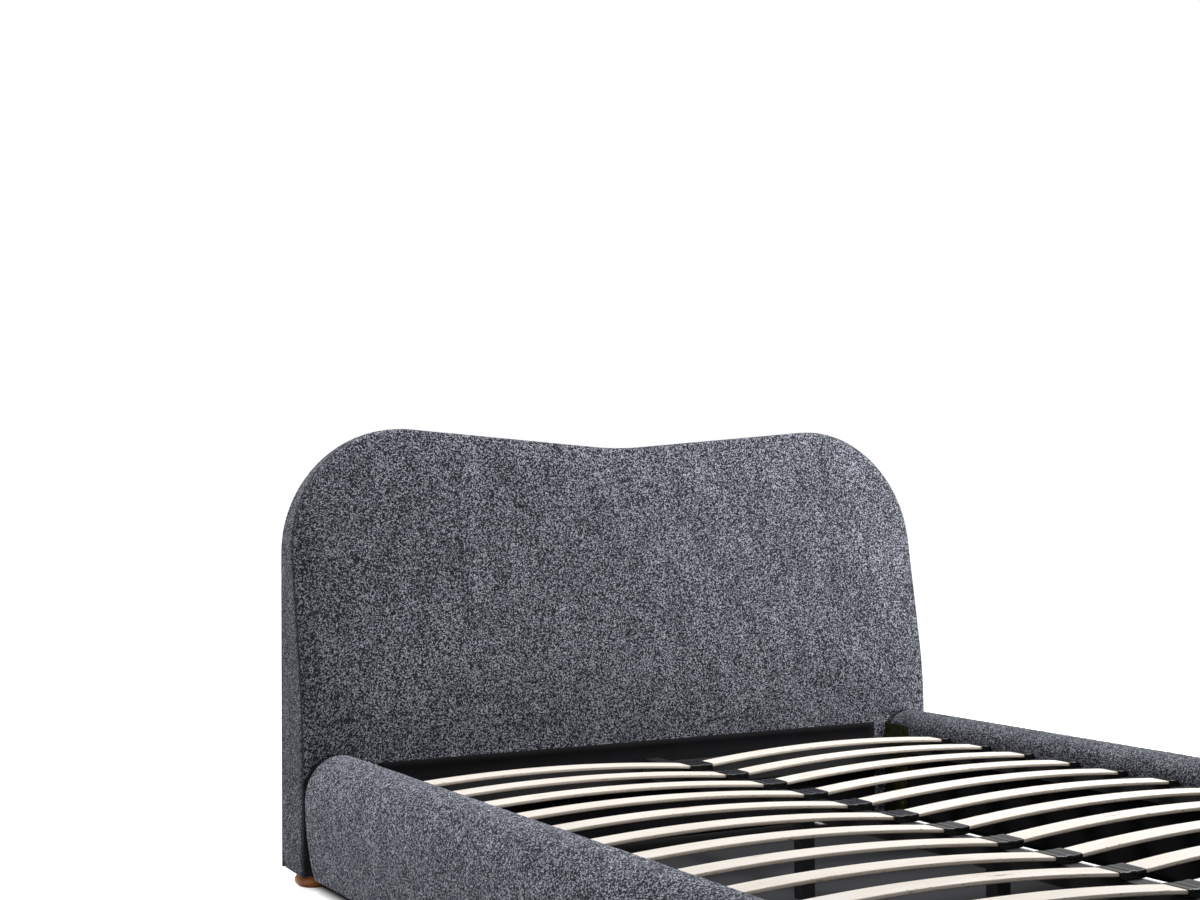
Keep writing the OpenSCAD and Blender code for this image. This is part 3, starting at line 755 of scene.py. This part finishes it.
# The band's front edge, outside and inside: (inset, depth behind the front face).
BAND_EDGE = ((0.0084, 0.0176), (0.0062, 0.0188), (0.0042, 0.0206), (0.0020, 0.0234), (0.0005, 0.0268),
             (0.0, 0.0300))
BAND_LINER = ((0.0090, 0.0200), (0.0102, 0.0201), (0.0114, 0.0202), (0.0126, 0.0203), (0.0140, 0.0204),
              (BAND_T, 0.0205))
BAND_STATIONS = 330
BAND_STEPS = 12
BAND_REAR_ROLL = 0.007
BAND_TUCK = 0.006
BAND_TUCK_H = 0.045
# Painted shade: how much darker the whole band is painted than the front.
BAND_SIDE_SHADE = -0.7


def make_band():
    """The strip round the sides and top, sewn to the front and turned in at the back."""
    rear_roll = quarter(BAND_REAR_ROLL, 5, "back")
    rear_y = BACK_Y - BACK_T - GAP
    outer, inner, weave = [], [], []
    for s in np.linspace(0, 2 * HALF_L, BAND_STATIONS):
        base = outline(s, 0.0)
        start = FACE_Y + float(lean(base[1]))
        low = max(0.0, 1 - (base[1] - SKIRT_Z) / BAND_TUCK_H)
        line = [(d, start + t) for d, t in BAND_EDGE]
        y0, y1 = line[-1][1], rear_y - BAND_REAR_ROLL
        line += [(0.0, y0 + (y1 - y0) * k / BAND_STEPS) for k in range(1, BAND_STEPS)]
        line += [(d, y1 + t) for d, t in rear_roll]
        back = [(d, start + t) for d, t in BAND_LINER]
        yb0, count = back[-1][1], len(line) - len(back)
        back += [(BAND_T, yb0 + (rear_y - yb0) * k / count) for k in range(1, count + 1)]
        tuck = [BAND_TUCK * low ** 2 * max(0.0, (y - y0) / (rear_y - y0)) for d, y in line]
        outer.append([(base[0] - base[2] * (d + g), y, base[1] - base[3] * (d + g))
                      for (d, y), g in zip(line, tuck)])
        inner.append([(base[0] - base[2] * d, y, base[1] - base[3] * d) for d, y in back])
        weave.append([(y, s, d) for d, y in line] + [(y, s, d) for d, y in back[::-1]])
    points, faces = shell(np.array(outer), np.array(inner))
    obj = piece("headboard_band", points, faces, fabric)
    spread = np.array(weave).reshape(-1, 3)
    mark(obj, "weave", spread)
    inset = spread[:, 2]
    depth = points[:, 1] - FACE_Y - lean(points[:, 2])
    # Painted shade: the band is painted dark along its seam edge and darker all over.
    paint_shade(obj, inset / 0.0026 * (depth < 0.029), BAND_SIDE_SHADE)
    free = (inset < 0.001) & (depth > 0.031) & (points[:, 1] < rear_y - BAND_REAR_ROLL - 0.001)
    free &= points[:, 2] > SKIRT_Z + 0.01
    puff(obj, np.where(free, SOFT, 1.0), BAND_SWELL, HEAD_SLACK)
    return obj


def make_back():
    """The taut cloth back, with a turned and stitched hem."""
    def y_of(x, z, depth):
        return BACK_Y - depth + 0 * x

    profile = [(0.030, 0.0011), (0.0262, 0.0011), (0.0248, 0.0004), (0.0235, 0.0), (0.012, 0.0),
               (0.0045, 0.0001), (0.0016, 0.0006), (0.0003, 0.0014), (0.0003, 0.0020),
               (0.0015, BACK_T - GAP)]
    return slab("headboard_back", profile, y_of, fabric)


def stitches(name, path, normals, pitch, length, radius):
    """A row of short thread stitches along a path, each bowed a little off the cloth."""
    total = lengths(path)
    angles = np.linspace(0, 2 * math.pi, 6, endpoint=False)
    forms = []
    for s in np.arange(pitch, total[-1] - pitch, pitch):
        at = along_line(path, total, s)
        ahead = along_line(path, total, s + 0.001) - at
        ahead /= np.linalg.norm(ahead)
        up = along_line(normals, total, s)
        up /= np.linalg.norm(up)
        side = np.cross(ahead, up)
        rings = []
        for f in (-0.5, -0.3, 0.0, 0.3, 0.5):
            rise = radius * (1.1 - 6.4 * f * f)
            thick = radius * (1.0 if abs(f) < 0.4 else 0.55)
            mid = at + ahead * length * f + up * rise
            rings.append([mid + thick * (math.cos(a) * side + math.sin(a) * up) for a in angles])
        forms.append(rings)
    return tubes(name, forms, thread)


def make_seam():
    """Stitches in the groove between the front panel and the band."""
    s = np.linspace(0.02, 2 * HALF_L - 0.02, 500)
    base = outline(s, SEAM_IN)
    y = FACE_Y + lean(base[:, 1]) + SEAM_DEPTH + 0.0005
    path = np.stack([base[:, 0], y, base[:, 1]], -1)
    out = np.stack([base[:, 2], np.zeros(len(s)), base[:, 3]], -1)
    return stitches("headboard_seam", path, out, 0.0065, 0.0045, 0.0006)


def make_hem():
    """Stitches along the hem of the back."""
    s = np.linspace(0.03, 2 * HALF_L - 0.03, 400)
    base = outline(s, 0.0205)
    path = np.stack([base[:, 0], np.full(len(s), BACK_Y - 0.0001), base[:, 1]], -1)
    out = np.tile((0.0, 1.0, 0.0), (len(s), 1))
    return stitches("headboard_hem", path, out, 0.0080, 0.0052, 0.0005)


# ---- Rails and footboard ----

def spread_along(line, count):
    """count points at even lengths along a line of points."""
    line = np.asarray(line, float)
    total = lengths(line)
    at = np.linspace(0, total[-1], count)
    return along_line(line, total, at), at


def rail_outer_line():
    """(u, z) points up the inner face, over the crown and down the outer face."""
    low_z, high_z = RAIL_H - CROWN_OUT_Z, RAIL_H - CROWN_IN_Z
    out = RAIL_T - CROWN_IN
    line = [(0.0, FLAP_Z), (0.0, high_z)]
    line += [(CROWN_IN - CROWN_IN * math.cos(a), high_z + CROWN_IN_Z * math.sin(a))
             for a in np.linspace(0.06, math.pi / 2, 24)]
    line += [(CROWN_IN + out * math.sin(a), low_z + CROWN_OUT_Z * math.cos(a))
             for a in np.linspace(0.06, math.pi / 2, 30)]
    line += [(RAIL_T - RAIL_TUCK * t * t, low_z - (low_z - SKIRT_Z) * t) for t in np.linspace(0.04, 1, 24)]
    return line


RAIL_POINTS = 50
RAIL_STEPS = 190
RAIL_ROLL = 0.026
RAIL_HELD_IN = 0.030
RAIL_HELD_OUT = 0.012
# Painted light and shade: the left rail is painted lighter and the right one darker for how light falls on
# each.
RAIL_SIDE_LIGHT = {"left": 0.7, "right": -1.2}


def rail_lines(cavity):
    """Outer and inner lines of a cover's section with the same number of points, and the length
    round the outer one."""
    outer, length = spread_along(rail_outer_line(), RAIL_POINTS)
    inner, _ = spread_along(cavity, RAIL_POINTS)
    return outer, inner, length


def section_normals(line):
    """Outward unit normals along a cover's section."""
    ahead = np.gradient(line, axis=0)
    ahead /= np.linalg.norm(ahead, axis=1, keepdims=True)
    return np.stack([-ahead[:, 1], ahead[:, 0]], -1)


def held_edges(spread, length):
    """How firmly a cover's points are held: fixed inside, low on the flap and along the hem."""
    fixed = (spread[:, 2] > 0) | (spread[:, 1] < RAIL_HELD_IN) | (spread[:, 1] > length - RAIL_HELD_OUT)
    return np.where(fixed, 1.0, SOFT)


def make_rail(side):
    """A side rail's cover: foam and cloth over the board, rolled in at both ends."""
    sign = -1 if side == "left" else 1
    back = LINING_T + BOARD_T + GAP
    cavity = [(LINING_T - GAP, FLAP_Z), (LINING_T - GAP, BOARD_TOP_Z + GAP), (back, BOARD_TOP_Z + GAP),
              (back, SKIRT_Z + 0.001)]
    outer, inner, length = rail_lines(cavity)
    normal = section_normals(outer)
    start, end = FOOT_Y + GAP, FACE_Y - GAP
    ends = [(RAIL_ROLL * (1 - math.cos(a)), RAIL_ROLL * (1 - math.sin(a)))
            for a in np.linspace(0, math.pi / 2, 9)]
    ys = [(start + d, inset) for d, inset in ends]
    ys += [(y, 0.0) for y in np.linspace(start + RAIL_ROLL, end - RAIL_ROLL, RAIL_STEPS + 1)[1:-1]]
    ys += [(end - d, inset) for d, inset in ends[::-1]]
    grid_out, grid_in, weave = [], [], []
    for y, inset in ys:
        shrunk = outer - normal * inset
        shrunk[:, 0] = np.clip(shrunk[:, 0], 0, None)
        shrunk[:, 1] = np.clip(shrunk[:, 1], SKIRT_Z, None)
        grid_out.append([(sign * (INNER_X + u), y, z) for u, z in shrunk])
        grid_in.append([(sign * (INNER_X + u), y, z) for u, z in inner])
        weave.append([(y, s, 0.0) for s in length] + [(y, s, 0.05) for s in length[::-1]])
    points, faces = shell(np.array(grid_out), np.array(grid_in))
    obj = piece("rail_" + side, points, faces, fabric)
    spread = np.array(weave).reshape(-1, 3)
    mark(obj, "weave", spread + (0.0, 3.0 + sign, 0.0))
    # Painted shade: the roll at the head end, where the rail meets the headboard, is painted dark, with the
    # side's painted light on top.
    paint_shade(obj, 1.15 - (end - points[:, 1]) / 0.007, RAIL_SIDE_LIGHT[side])
    held = held_edges(spread, length[-1])
    held[(points[:, 1] < start + RAIL_ROLL) | (points[:, 1] > end - RAIL_ROLL)] = 1
    puff(obj, held, SWELL, RAIL_SLACK)
    return obj


FOOT_SOLID_IN = 0.028
FOOT_STEPS = 160
FOOT_END_STEPS = 12
FOOT_SOFT = 0.030
FOOT_DROP = 0.024


def make_footboard():
    """The footboard's cover, with round corners in plan and soft ends."""
    solid_x = OUTER_X - FOOT_SOLID_IN + GAP
    back = LINING_T + BOARD_T + GAP
    deep = LINING_T + FOOT_PLATE_W + GAP
    plate_z = SKIRT_Z + FOOT_PLATE_H + GAP
    cavity = [(LINING_T - GAP, FLAP_Z), (LINING_T - GAP, BOARD_TOP_Z + GAP), (back, BOARD_TOP_Z + GAP),
              (back, plate_z), (deep, plate_z), (deep, SKIRT_Z + 0.001)]
    closed = [(0.0, FLAP_Z - 0.001), (0.0, SKIRT_Z), (RAIL_T - RAIL_TUCK - 0.001, SKIRT_Z)]
    outer, hollow, length = rail_lines(cavity)
    flush, _ = spread_along(closed, RAIL_POINTS)
    ends = [solid_x + 0.0006]
    ends += [solid_x + (OUTER_X - solid_x) * math.sin(math.pi / 2 * k / FOOT_END_STEPS)
             for k in range(1, FOOT_END_STEPS + 1)]
    stations = [(-x, flush) for x in ends[::-1]]
    stations += [(x, hollow) for x in np.linspace(-solid_x, solid_x, FOOT_STEPS + 1)]
    stations += [(x, flush) for x in ends]
    grid_out, grid_in = [], []
    for x, inner in stations:
        reach = max(0.0, abs(x) - (OUTER_X - FOOT_CORNER_R)) / FOOT_CORNER_R
        curve = 1 - math.sqrt(max(0.0, 1 - reach * reach))
        y_scale = 1 - FOOT_CORNER_R * curve / RAIL_T
        soft = max(0.0, abs(x) - (OUTER_X - FOOT_SOFT)) / FOOT_SOFT
        drop = FOOT_DROP * (1 - math.sqrt(max(0.0, 1 - soft * soft)))
        z_scale = 1 - drop / (RAIL_H - SKIRT_Z)
        for target, line in ((grid_out, outer), (grid_in, inner)):
            fit, lift = (1.0, 1.0) if line is hollow else (y_scale, z_scale)
            target.append([(x, FOOT_Y - u * fit, SKIRT_Z + (z - SKIRT_Z) * lift) for u, z in line])
    path = np.array(grid_out)[:, RAIL_POINTS // 2, :2]
    along = lengths(path)
    weave = [[(a, s, 0.0) for s in length] + [(a, s, 0.05) for s in length[::-1]] for a in along]
    # A ring just inside each end face carries the weave on round the corner and over the face.
    for end, way in ((0, -1), (-1, 1)):
        ring = np.concatenate([grid_out[end], grid_in[end][::-1]])
        ring = ring.mean(axis=0) + 0.997 * (ring - ring.mean(axis=0))
        at = 0 if way < 0 else len(weave)
        weave.insert(at, np.stack([along[end] + way * (ring[:, 1] - path[end, 1]),
                                   length[-1] + SKIRT_Z - ring[:, 2], 0 * ring[:, 2]], -1).tolist())
        grid_out.insert(at, ring[:RAIL_POINTS].tolist())
        grid_in.insert(at, ring[:RAIL_POINTS - 1:-1].tolist())
    points, faces = shell(np.array(grid_out), np.array(grid_in))
    obj = piece("footboard", points, faces, fabric)
    spread = np.array(weave).reshape(-1, 3)
    mark(obj, "weave", spread + (0.0, 7.0, 0.0))
    held = held_edges(spread, length[-1])
    held[np.abs(points[:, 0]) > OUTER_X - RAIL_HELD_OUT] = 1
    puff(obj, held, SWELL, RAIL_SLACK)
    return obj


# ---- Linings ----

def make_lining_strip(name, low, high, thin, facing, hem):
    """A strip of non-woven cloth stapled flat: slightly wavy, with a turned hem on top. thin is
    the axis it is thin along, facing the sign of the side that shows."""
    wide, tall = high[1 - thin] - low[1 - thin], high[2] - low[2]
    us = np.linspace(0, wide, max(8, round(wide / 0.02)))
    vs = np.append(np.linspace(0, tall - hem - 0.001, 12), [tall - hem, tall - hem / 2, tall - 0.0006, tall])
    u, v = np.meshgrid(us, vs, indexing="ij")
    wave = 0.5 + 0.25 * np.sin(u * 41 + v * 9) + 0.25 * np.sin(u * 17 - v * 23 + 1.3)
    depth = np.where(v >= tall - hem, 0.0, 0.35 + 0.25 * wave)
    depth[:, -1] = 0.3
    near, far = (high[thin], low[thin]) if facing > 0 else (low[thin], high[thin])
    shown = np.zeros((*u.shape, 3))
    shown[..., 1 - thin] = low[1 - thin] + u
    shown[..., 2] = low[2] + v
    hidden = shown.copy()
    shown[..., thin] = near - facing * (high[thin] - low[thin]) * depth
    hidden[..., thin] = far
    points, faces = shell(shown, hidden)
    return piece(name, points, faces, lining)


# ---- Slats and caps ----

SLAT_TILT = math.atan((SLAT_OUTER_Z - SLAT_INNER_Z) / (SLAT_OUTER_X - SLAT_INNER_X))
SLAT_CHORD = (SLAT_OUTER_X - SLAT_INNER_X) / math.cos(SLAT_TILT)


def row_y(row):
    """Middle of a row of slats, counted from the head end."""
    return FACE_Y - FIRST_ROW - (row - 1) * ROW_PITCH


def slat_point(share, bow):
    """(x, z) on a slat's upper face and its upward normal, at a share of its length."""
    radius = ((SLAT_CHORD / 2) ** 2 + bow ** 2) / (2 * bow)
    sweep = math.asin(SLAT_CHORD / 2 / radius)
    a = sweep * (2 * share - 1)
    px, pz = radius * math.sin(a), radius * math.cos(a) - radius + bow
    c, s = math.cos(SLAT_TILT), math.sin(SLAT_TILT)
    mid_x = (SLAT_INNER_X + SLAT_OUTER_X) / 2
    mid_z = (SLAT_INNER_Z + SLAT_OUTER_Z) / 2
    nx, nz = math.sin(a), math.cos(a)
    return (mid_x + c * px - s * pz, mid_z + s * px + c * pz), (c * nx - s * nz, s * nx + c * nz)


def slat_height(x):
    """Height of a slat's upper face at x."""
    shares = np.linspace(0, 1, 60)
    curve = np.array([slat_point(t, SLAT_BOW)[0] for t in shares])
    return float(np.interp(abs(x), curve[:, 0], curve[:, 1]))


def make_slat_piece(side, row):
    """One bowed slat with rounded long edges and softened ends."""
    sign = -1 if side == "left" else 1
    bow = SLAT_BOW + rng.uniform(-0.0009, 0.0006)
    shift = rng.uniform(-0.0001, 0.0001)
    offset = rng.uniform(0, 50)
    section = rounded_rectangle(SLAT_W, SLAT_T, SLAT_EDGE_R, 5, (8, 1))
    ends = [(0.0, 0.80), (0.0008, 0.92), (0.0025, 1.0)]
    shares = [(d / SLAT_CHORD, k) for d, k in ends] + [(t, 1.0) for t in np.linspace(0.02, 0.98, 56)]
    shares += [(1 - d / SLAT_CHORD, k) for d, k in ends[::-1]]
    rings, grain = [], []
    for share, k in shares:
        (x, z), (nx, nz) = slat_point(share, bow)
        ring = []
        for v, w in section:
            w = w * k - SLAT_T / 2
            ring.append((sign * (x + nx * w), row_y(row) + shift + v * (0.985 + 0.015 * k), z + nz * w))
            grain.append((share * SLAT_CHORD + offset, v, w + SLAT_T / 2))
        rings.append(ring)
    points, faces = tube(np.array(rings))
    obj = piece("slat_%s_%02d_ply" % (side, row), points, faces, slat_wood)
    mark(obj, "grain", grain + [(offset, 0, 0), (offset + SLAT_CHORD, 0, 0)])
    return obj


def cap_ring(x, y, width, top, bottom, radius, sign):
    """A cap's rounded section at a distance x to one side of the bed's middle."""
    height = top - bottom
    section = rounded_rectangle(width, height, radius, 4, (6, 2))
    return [(sign * x, y + v, bottom + height / 2 + w) for v, w in section]


def pocket_ring(x, y, sign):
    """The section of a cap's mouth, just wider than the slat in it."""
    top = slat_height(x) + 0.0003
    return cap_ring(x, y, SLAT_W + 0.0006, top, top - SLAT_T - 0.0006, 0.0030, sign)


def make_centre_caps():
    """Double caps: two mouths that take the slats' ends, a bar between them, rounded outside."""
    low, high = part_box("slat_centre_caps")
    bottom, mouth = low.z, high.x
    forms = []
    for row in range(1, SLAT_ROWS + 1):
        y = row_y(row)
        outside = []
        for x in (0.0305, 0.0295, 0.024, 0.016, 0.0085, 0.0078, 0.0060, 0.0052, 0.0):
            bar = 0.0012 if x < 0.007 else 0.0
            lip = 0.0007 if x > 0.029 else 0.0
            top = slat_height(max(x, SLAT_INNER_X)) + 0.0021 + bar - lip
            outside.append((x, CAP_W - 2 * lip - 2 * bar, top, bottom + lip))
        rings = [pocket_ring(SLAT_INNER_X + 0.0005, y, -1), pocket_ring(mouth - 0.001, y, -1)]
        rings += [cap_ring(x, y, w, t, b, CAP_R, -1) for x, w, t, b in outside]
        rings += [cap_ring(x, y, w, t, b, CAP_R, 1) for x, w, t, b in outside[-2::-1]]
        rings += [pocket_ring(mouth - 0.001, y, 1), pocket_ring(SLAT_INNER_X + 0.0005, y, 1)]
        forms.append(rings)
    return tubes("slat_caps_centre", forms, plastic)


def make_side_caps():
    """Single caps at the rails, each with one mouth."""
    low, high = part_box("slat_side_caps")
    near, far = INNER_X - 0.032, high.x
    forms = []
    for side in (-1, 1):
        for row in range(1, SLAT_ROWS + 1):
            y = row_y(row)
            rings = [pocket_ring(SLAT_OUTER_X - 0.0005, y, side), pocket_ring(near + 0.001, y, side)]
            for x, lip in ((near + 0.0003, 0.0007), (near + 0.0014, 0.0), (near + 0.012, 0.0),
                           (SLAT_OUTER_X + 0.002, 0.0), (far - 0.002, 0.0), (far - 0.0005, 0.0008),
                           (far, 0.0022)):
                top = slat_height(min(x, SLAT_OUTER_X)) + 0.0024 - lip
                rings.append(cap_ring(x, y, CAP_W - 2 * lip, top, low.z + lip, CAP_R, side))
            forms.append(rings)
    return tubes("slat_caps_side", forms, plastic)


# ---- Feet and glides ----

def lathe(name, profile, x, y, material, segments=72):
    """A turned form on an upright axis, from (radius, z) points."""
    angles = np.linspace(0, 2 * math.pi, segments, endpoint=False)
    rings = np.array([[(x + r * math.cos(a), y + r * math.sin(a), z) for a in angles] for r, z in profile])
    points, faces = tube(rings)
    return piece(name, points, faces, material)


def smooth_line(points, steps):
    """A Catmull-Rom line through points."""
    p = np.array([points[0], *points, points[-1]], float)
    out = []
    for k in range(1, len(p) - 2):
        for t in np.linspace(0, 1, steps, endpoint=False):
            out.append(0.5 * (2 * p[k] + (p[k + 1] - p[k - 1]) * t
                              + (2 * p[k - 1] - 5 * p[k] + 4 * p[k + 1] - p[k + 2]) * t * t
                              + (3 * p[k] - p[k - 1] - 3 * p[k + 1] + p[k + 2]) * t ** 3))
    return [tuple(v) for v in out] + [tuple(p[-2])]


def make_bun(node):
    """A turned bun foot: full sides, a rounded lower edge and a fine turned line."""
    low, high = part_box(node)
    middle = (low + high) / 2
    r = (high.x - low.x) / 2
    top = high.z
    profile = [(0.004, 0.0), (r - 0.020, 0.0), (r - 0.0150, 0.0004), (r - 0.0105, 0.0018)]
    profile += smooth_line([(r - 0.0068, 0.0044), (r - 0.0030, 0.0085), (r - 0.0007, 0.0135), (r, 0.0175),
                            (r - 0.0012, 0.0218), (r - 0.0040, 0.0256)], 5)
    profile += [(r - 0.0049, 0.0262), (r - 0.0051, 0.0266), (r - 0.0046, 0.0270)]
    profile += smooth_line([(r - 0.0048, 0.0272), (r - 0.0070, 0.0294), (r - 0.0098, top)], 3)
    profile += [(0.006, top)]
    return lathe(node.replace("bun_foot", "bun"), profile, middle.x, middle.y, beech)


def make_glide(node):
    """A levelling glide: a chamfered pad and a threaded stem."""
    low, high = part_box(node)
    middle = (low + high) / 2
    r = (high.x - low.x) / 2
    z = low.z
    profile = [(0.002, z), (r - 0.0016, z), (r - 0.0004, z + 0.0006), (r, z + 0.0016), (r, z + 0.0036),
               (r - 0.0010, z + 0.0050), (r - 0.0032, z + 0.0058), (0.0070, z + 0.0060), (0.0049, z + 0.0064)]
    crest, root, pitch = 0.00495, 0.00425, 0.0015
    at = z + 0.0072
    while at < high.z - 0.0012:
        profile += [(root, at), (crest, at + pitch * 0.42), (crest, at + pitch * 0.58)]
        at += pitch
    profile += [(root, at), (root - 0.0008, high.z), (0.001, high.z)]
    return lathe(node + "_screw", profile, middle.x, middle.y, zinc, 48)


# ---- Assembly ----

def place_piece(obj, slot, *nodes, body="bed_frame"):
    """Tells the frame what a piece rides on and replaces; slot, what it is made of, is not used."""
    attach(obj, body)
    if nodes:
        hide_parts(*nodes)
    return obj


front = place_piece(make_front(), "upholstery", "headboard_front_pad")
band = place_piece(make_band(), "upholstery", "headboard_side_band")
back = place_piece(make_back(), "upholstery", "headboard_back_cover")
rails = [place_piece(make_rail(side), "upholstery", "rail_cover_" + side) for side in ("left", "right")]
footboard = place_piece(make_footboard(), "upholstery", "footboard_cover")
place_piece(make_seam(), "upholstery")
place_piece(make_hem(), "upholstery")

for node in ("bun_foot_head_left", "bun_foot_head_right", "bun_foot_foot_left", "bun_foot_foot_right"):
    place_piece(make_bun(node), "bun_beech", node)
for end in ("head", "foot"):
    node = "centre_glide_" + end
    place_piece(make_glide(node), "zinc_steel", node, body="glide_" + end)
place_piece(make_centre_caps(), "cap_plastic", "slat_centre_caps")
place_piece(make_side_caps(), "cap_plastic", "slat_side_caps")
for side in ("left", "right"):
    for row in range(1, SLAT_ROWS + 1):
        place_piece(make_slat_piece(side, row), "slat_birch", "slat_%s_%02d" % (side, row))

HEM = 0.015
FOOT_STRIP_IN = 0.042
SIDE_STRIP_IN = 0.095
head_low, head_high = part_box("headboard_lining")
low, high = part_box("inner_linings")
side_low, side_high = FOOT_Y + SIDE_STRIP_IN, FACE_Y - SIDE_STRIP_IN
for name, near, far, thin, facing, node, board in (
        ("lining_head", head_low, head_high, 1, -1, "headboard_lining", "head_bottom_beam"),
        ("lining_right", Vector((INNER_X, side_low, low.z)), Vector((high.x, side_high, high.z)), 0, -1,
         "inner_linings", "side_rail_right"),
        ("lining_left", Vector((low.x, side_low, low.z)), Vector((-INNER_X, side_high, high.z)), 0, 1,
         "inner_linings", "side_rail_left"),
        ("lining_foot", Vector((FOOT_STRIP_IN - INNER_X, low.y, low.z)),
         Vector((INNER_X - FOOT_STRIP_IN, FOOT_Y, high.z)), 1, 1, "inner_linings", "footboard_frame")):
    strip = place_piece(make_lining_strip(name, near, far, thin, facing, HEM), "lining_cloth", node)

GRAIN_AXIS = {"head_rib_left": "z", "head_rib_right": "z", "side_rail_left": "y", "side_rail_right": "y"}
for part in frame["record"]["subparts"]:
    node = frame["nodes"][part["node"]]
    if node.hide_render:
        continue
    chosen = by_slot.get(part["material_slot"]) or timber[GRAIN_AXIS.get(part["node"], "x")]
    node.data.materials.clear()
    node.data.materials.append(chosen)


# ---- Floor, light and camera ----

floor = piece("floor", [(-30, -30, 0), (30, -30, 0), (30, 30, 0), (-30, 30, 0)], [(0, 1, 2, 3)], make_floor())


def softbox(name, at, target, size, power):
    """A soft rectangular light aimed at a point."""
    light = bpy.data.lights.new(name, "AREA")
    light.shape = "RECTANGLE"
    light.size, light.size_y = size
    light.energy = power
    obj = bpy.data.objects.new(name, light)
    obj.location = at
    obj.rotation_euler = (Vector(target) - Vector(at)).to_track_quat("-Z", "Y").to_euler()
    scene.collection.objects.link(obj)


def make_world(light, seen):
    """An even white surround that lights the bed gently and shows as plain white."""
    world = bpy.data.worlds.new("studio")
    world.use_nodes = True
    tree = world.node_tree
    soft = tree.nodes["Background"]
    soft.inputs["Strength"].default_value = light
    soft.inputs["Color"].default_value = (1, 1, 1, 1)
    plain = tree.nodes.new("ShaderNodeBackground")
    plain.inputs["Strength"].default_value = seen
    plain.inputs["Color"].default_value = (1, 1, 1, 1)
    choice = tree.nodes.new("ShaderNodeMixShader")
    tree.links.new(tree.nodes.new("ShaderNodeLightPath").outputs["Is Camera Ray"], choice.inputs[0])
    tree.links.new(soft.outputs[0], choice.inputs[1])
    tree.links.new(plain.outputs[0], choice.inputs[2])
    tree.links.new(choice.outputs[0], tree.nodes["World Output"].inputs["Surface"])
    scene.world = world


make_world(0.48, 1.0)
softbox("key", (2.2, 0.2, 1.8), (0.2, 1.0, 0.7), (1.2, 1.2), 52)
softbox("left", (-1.35, 1.35, 3.2), (-0.85, 0.4, 0.3), (0.8, 0.8), 70)
softbox("middle", (0.9, -0.1, 2.0), (0.3, 1.0, 0.7), (1.0, 1.0), 20)

CAMERA_AT = Vector((-2.3413, FACE_Y - 4.0439, 0.9281))
CAMERA_YAW = math.radians(28.7719)
CAMERA_PITCH = math.radians(0.9472)
CAMERA_ROLL = math.radians(-0.3258)
CAMERA_LENS = 56.11

camera_data = bpy.data.cameras.new("camera")
camera_data.sensor_width = 36
camera_data.lens = CAMERA_LENS
camera_data.clip_end = 100
camera = bpy.data.objects.new("camera", camera_data)
camera.matrix_world = (Matrix.Translation(CAMERA_AT) @ Matrix.Rotation(-CAMERA_YAW, 4, "Z")
                       @ Matrix.Rotation(math.pi / 2 + CAMERA_PITCH, 4, "X")
                       @ Matrix.Rotation(CAMERA_ROLL, 4, "Z"))
scene.collection.objects.link(camera)
scene.camera = camera
scene.view_settings.view_transform = "Standard"
